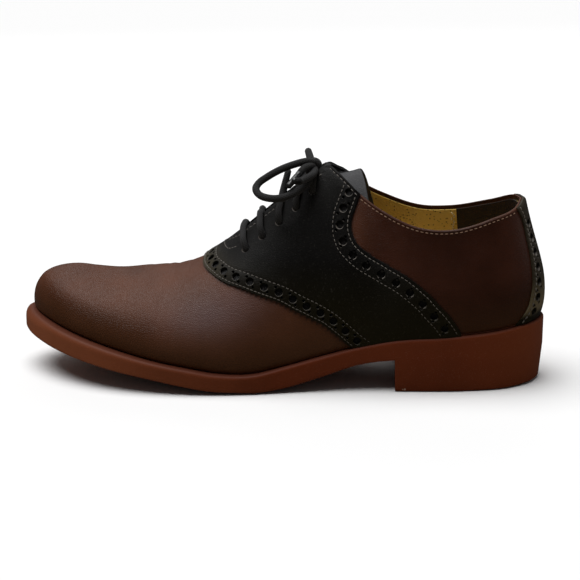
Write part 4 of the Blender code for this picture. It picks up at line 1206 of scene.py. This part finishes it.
across = np.linspace(0.0, 1.0, 40)
ends = TONGUE_END_SIDE + (TONGUE_END_CREST - TONGUE_END_SIDE) * across ** 0.8
guides = ends + (TONGUE_FOOT - ends) * np.linspace(0.0, 1.0, 110)[:, None]
side_rise = np.interp(guides, TONGUE_SIDE[:, 0], TONGUE_SIDE[:, 1])
rises = side_rise + (1.0 - side_rise) * across
points, faces, normal, guides, rises, sides = both_sides(guides, rises, grid_faces(110, 40), TONGUE_TOP)
from_lace = nearest(points + normal * TONGUE_FACE, np.concatenate(lacing))
pressed = -PRESS_DEEP * hump(from_lace, 0.0, PRESS_WIDE)
points, loops = walled(points, faces, normal, TONGUE_BACK + pressed, TONGUE_FACE + pressed)

TONGUE, tongue = finish_of("tongue_leather", 0.55, Specular_IOR_Level=0.25)
tone, skin = handled(tongue, 60.0, 800.0), grain(tongue, 800.0, 150.0)
look = mixed(tongue, tone["Tone"], (0.034, 0.034, 0.036), (0.066, 0.066, 0.070))
look = mixed(tongue, tone["Specks"], look, (0.10, 0.10, 0.10), 0.25)
dress(tongue, look, (skin["Height"], 0.5, 0.0006))
settle("tongue_flap", mesh_of(points, loops), TONGUE, ("tongue",))


# Lace.
# One round waxed cotton cord, plaited, drawn through the five pairs of eyelets and tied in a bow over
# the top of the throat. Both loops and both ends hang free.
CORD, cord = finish_of("black_cord", 0.72, Specular_IOR_Level=0.2, Sheen_Weight=0.06, Sheen_Roughness=0.5)
along = add(cord, "ShaderNodeUVMap", uv_map="plait").outputs["UV"]
parts = add(cord, "ShaderNodeSeparateXYZ", {"Vector": along}).outputs
strands = []
for lean in (1.0, -1.0):
    turned = maths(cord, "ADD", maths(cord, "MULTIPLY", parts["X"], 8.0),
                   maths(cord, "MULTIPLY", parts["Y"], lean * 620.0))
    strands.append(maths(cord, "SINE", maths(cord, "MULTIPLY", turned, 2 * math.pi), 0.0))
plait = maths(cord, "MAXIMUM", *strands)
tone = handled(cord, 300.0, 2500.0)
look = mixed(cord, ramp(cord, plait, -0.6, 1.0), (0.0060, 0.0058, 0.0060), (0.021, 0.0205, 0.021))
look = mixed(cord, tone["Specks"], look, (0.055, 0.053, 0.05), 0.3)
dress(cord, look, (plait, 0.5, 0.0004))


# A round tube along paths, closed at both ends, with its length and turn as the plait's map
def tube(name, paths, radii, finish, replaced=(), around=12):
    points, faces, maps = [], [], []
    angles = np.linspace(0.0, 2 * math.pi, around + 1)
    for path, radius in zip(paths, radii):
        radius = np.broadcast_to(radius, len(path))
        run = np.gradient(path, axis=0)
        run = run / np.linalg.norm(run, axis=1, keepdims=True)
        side = np.cross(run[0], UP if abs(run[0, 2]) < 0.9 else np.array((1.0, 0.0, 0.0)))
        length = lengths(path) * MM
        start = len(points)
        for k, p in enumerate(path):
            side = side - run[k] * np.dot(side, run[k])
            side = side / np.linalg.norm(side)
            lift = np.cross(run[k], side)
            points += [p + radius[k] * (side * math.cos(a) + lift * math.sin(a)) for a in angles[:-1]]
        for k in range(len(path) - 1):
            for i in range(around):
                a, b = start + k * around + i, start + k * around + (i + 1) % around
                faces.append((a, b, b + around, a + around))
                maps.append(((i / around, length[k]), ((i + 1) / around, length[k]),
                             ((i + 1) / around, length[k + 1]), (i / around, length[k + 1])))
        for k, turn in ((0, -1), (len(path) - 1, 1)):
            ring = [start + k * around + i for i in range(around)][::turn]
            middle = len(points)
            points.append(path[k] + run[k] * radius[k] * 0.35 * turn)
            for i in range(around):
                faces.append((ring[i], ring[(i + 1) % around], middle, middle))
                maps.append(((i / around, length[k]),) * 4)
    loops = [list(f[:3]) if f[3] == f[2] else list(f) for f in faces]
    mesh = mesh_of(points, loops)
    layer = mesh.uv_layers.new(name="plait")
    flat = [uv for f, m in zip(loops, maps) for uv in list(m[:len(f)])[::-1]]
    layer.data.foreach_set("uv", np.asarray(flat, np.float32).ravel())
    return settle(name, mesh, finish, replaced, 60.0)


LACE_ROUND, BOW_ROUND = LACE / 2, 2.1
tube("lacing", lacing, [LACE_ROUND - 0.06] * 2, CORD, ("lace_crossings",))

turn = np.linspace(-0.5 * math.pi, 3.6 * math.pi, 90)
wrap = KNOT + np.stack((2.7 * np.cos(turn), np.linspace(-2.4, 2.4, 90), 2.7 * np.sin(turn)), 1)
tube("bow_knot", [wrap], [BOW_ROUND], CORD, ("lace_knot",))

LOOP_NEAR = ((134.0, -1.5, 124.2), (135.0, -4.0, 125.5), (137.9, -6.5, 126.1), (142.8, -9.0, 125.3),
             (149.9, -11.5, 123.1), (158.7, -14.5, 118.7), (164.0, -18.0, 115.0), (164.9, -21.5, 112.9),
             (162.7, -25.0, 110.5), (156.4, -28.0, 109.1), (150.0, -27.5, 109.3), (142.7, -23.5, 111.7),
             (137.9, -17.5, 114.1), (134.8, -10.8, 117.4), (134.0, -6.5, 120.6), (134.0, -2.5, 122.4))
LOOP_FAR = ((134.0, 0.5, 123.4), (135.4, 4.0, 124.6), (136.8, 9.0, 126.5), (138.0, 14.0, 127.9),
            (138.3, 18.0, 127.3), (138.3, 23.0, 124.8), (138.0, 28.0, 120.3), (137.7, 32.0, 114.8),
            (137.8, 33.6, 109.0), (138.2, 31.0, 105.6), (138.4, 26.0, 106.4), (138.4, 20.0, 110.4),
            (138.0, 14.5, 115.3), (137.3, 10.8, 118.6), (135.8, 6.5, 121.8), (134.2, 2.0, 122.6))
END_NEAR = ((132.6, 1.8, 122.0), (135.6, -7.0, 123.6), (138.6, -12.4, 123.2), (141.0, -16.4, 120.9))
END_FAR = ((133.6, -1.6, 121.7), (132.9, -9.0, 120.6), (134.2, -15.0, 119.8), (136.8, -20.0, 119.0),
           (139.6, -25.0, 118.5), (140.3, -29.5, 119.4))
AGLET = 3.7


for name, stops in (("loop_near", LOOP_NEAR), ("loop_far", LOOP_FAR)):
    path = path_through(stops, CORD_STEP)
    loop = tube("bow_" + name, [path], [BOW_ROUND], CORD, ("lace_" + name,))


# Lace ends and their tips.
# Each end stops in a crimped black plastic tube that keeps the plait from fraying.
TIP, tip = finish_of("aglet_plastic", 0.26)
tone = handled(tip, 200.0, 1600.0)
look = mixed(tip, tone["Tone"], (0.006, 0.006, 0.006), (0.014, 0.014, 0.014))
dress(tip, look, rough=(tone["Tone"], 0.20, 0.36))
# The tip's profile: distance past the cord's end, share of its full width
reach = np.array((-0.6, -0.4, 0.0, 1.0, 2.0, 2.6, 3.2, 9.8, 11.2, 11.9))
swell = np.array((0.90, 1.0, 1.03, 1.0, 0.90, 1.0, 1.0, 0.98, 0.94, 0.78))
for name, stops in (("near", END_NEAR), ("far", END_FAR)):
    path = path_through(stops, CORD_STEP)
    onward = (path[-1] - path[-2]) / np.linalg.norm(path[-1] - path[-2])
    aglet = tube("lace_tip_" + name, [path[-1] + onward * reach[:, None]], [swell * AGLET / 2], TIP,
                 ("aglet_" + name,), 16)
    inside = path[-1] + onward * np.linspace(0.8, 11.0, 12)[:, None]
    whole = np.concatenate((path, inside))
    width = np.concatenate((np.full(len(path) - 2, BOW_ROUND), (1.7, 1.45), np.full(12, 1.4)))
    end = tube("bow_end_" + name, [whole], [width], CORD, ("lace_end_" + name,))


# Studio.
# A plain pale floor that throws little light back, a broad soft light overhead, weaker ones behind
# the shoe and at its heel, and the photograph's camera.
floor = bare("floor", [(x, y, 0.0) for x, y in ((-30, -30), (30, -30), (30, 30), (-30, 30))], [(0, 1, 2, 3)])
PAPER, paper = finish_of("pale_floor", 0.9, Specular_IOR_Level=0.0)
seen = add(paper, "ShaderNodeLightPath").outputs
thrown = mixed(paper, seen["Is Glossy Ray"], (0.44, 0.385, 0.30), (0.05, 0.05, 0.05))
dress(paper, mixed(paper, seen["Is Camera Ray"], thrown, (0.90, 0.90, 0.90)))
floor.data.materials.append(PAPER)
world = bpy.context.scene.world or bpy.data.worlds.new("studio")
bpy.context.scene.world = world
world.use_nodes = True
backdrop = world.node_tree.nodes["Background"]
backdrop.inputs["Color"].default_value = (1.0, 1.0, 1.0, 1.0)
backdrop.inputs["Strength"].default_value = 0.065


def lamp_of(name, kind, toward, power):
    lamp = bpy.data.lights.new(name, kind)
    lamp.energy = power
    obj = linked(name, lamp)
    obj.rotation_euler = Vector(toward).to_track_quat("-Z", "Y").to_euler()
    return obj, lamp


def soft_light(name, place, aim, size, power):
    obj, lamp = lamp_of(name, "AREA", Vector(aim) - Vector(place), power)
    lamp.shape = "RECTANGLE"
    lamp.size, lamp.size_y = size
    obj.location = place


# Light from the whole ceiling, the same all over the floor
ceiling = lamp_of("ceiling", "SUN", (0.24, 0.02, -1.0), 3.3)[1]
ceiling.angle = math.radians(52.0)
soft_light("behind", (-0.3, 1.3, 0.9), (0.0, 0.0, 0.05), (1.6, 0.8), 3.0)
soft_light("heel_side", (1.2, 0.45, 0.45), (0.12, 0.0, 0.06), (0.7, 0.7), 1.0)

TARGET = Vector((0.00144, 0.00105, 0.060))
AZIMUTH, ELEVATION, DISTANCE = math.radians(5.0), math.radians(15.0), 0.9
lens = bpy.data.cameras.new("camera")
camera = linked("camera", lens)
back = Vector((math.sin(AZIMUTH) * math.cos(ELEVATION), -math.cos(AZIMUTH) * math.cos(ELEVATION),
               math.sin(ELEVATION)))
camera.location = TARGET + back * DISTANCE
camera.rotation_euler = back.to_track_quat("Z", "Y").to_euler()
lens.sensor_width, lens.lens = 36.0, 96.19
lens.shift_x, lens.shift_y = 0.0121, -0.0328
lens.clip_start, lens.clip_end = 0.01, 50.0
bpy.context.scene.camera = camera
bpy.context.scene.view_settings.view_transform = "Standard"
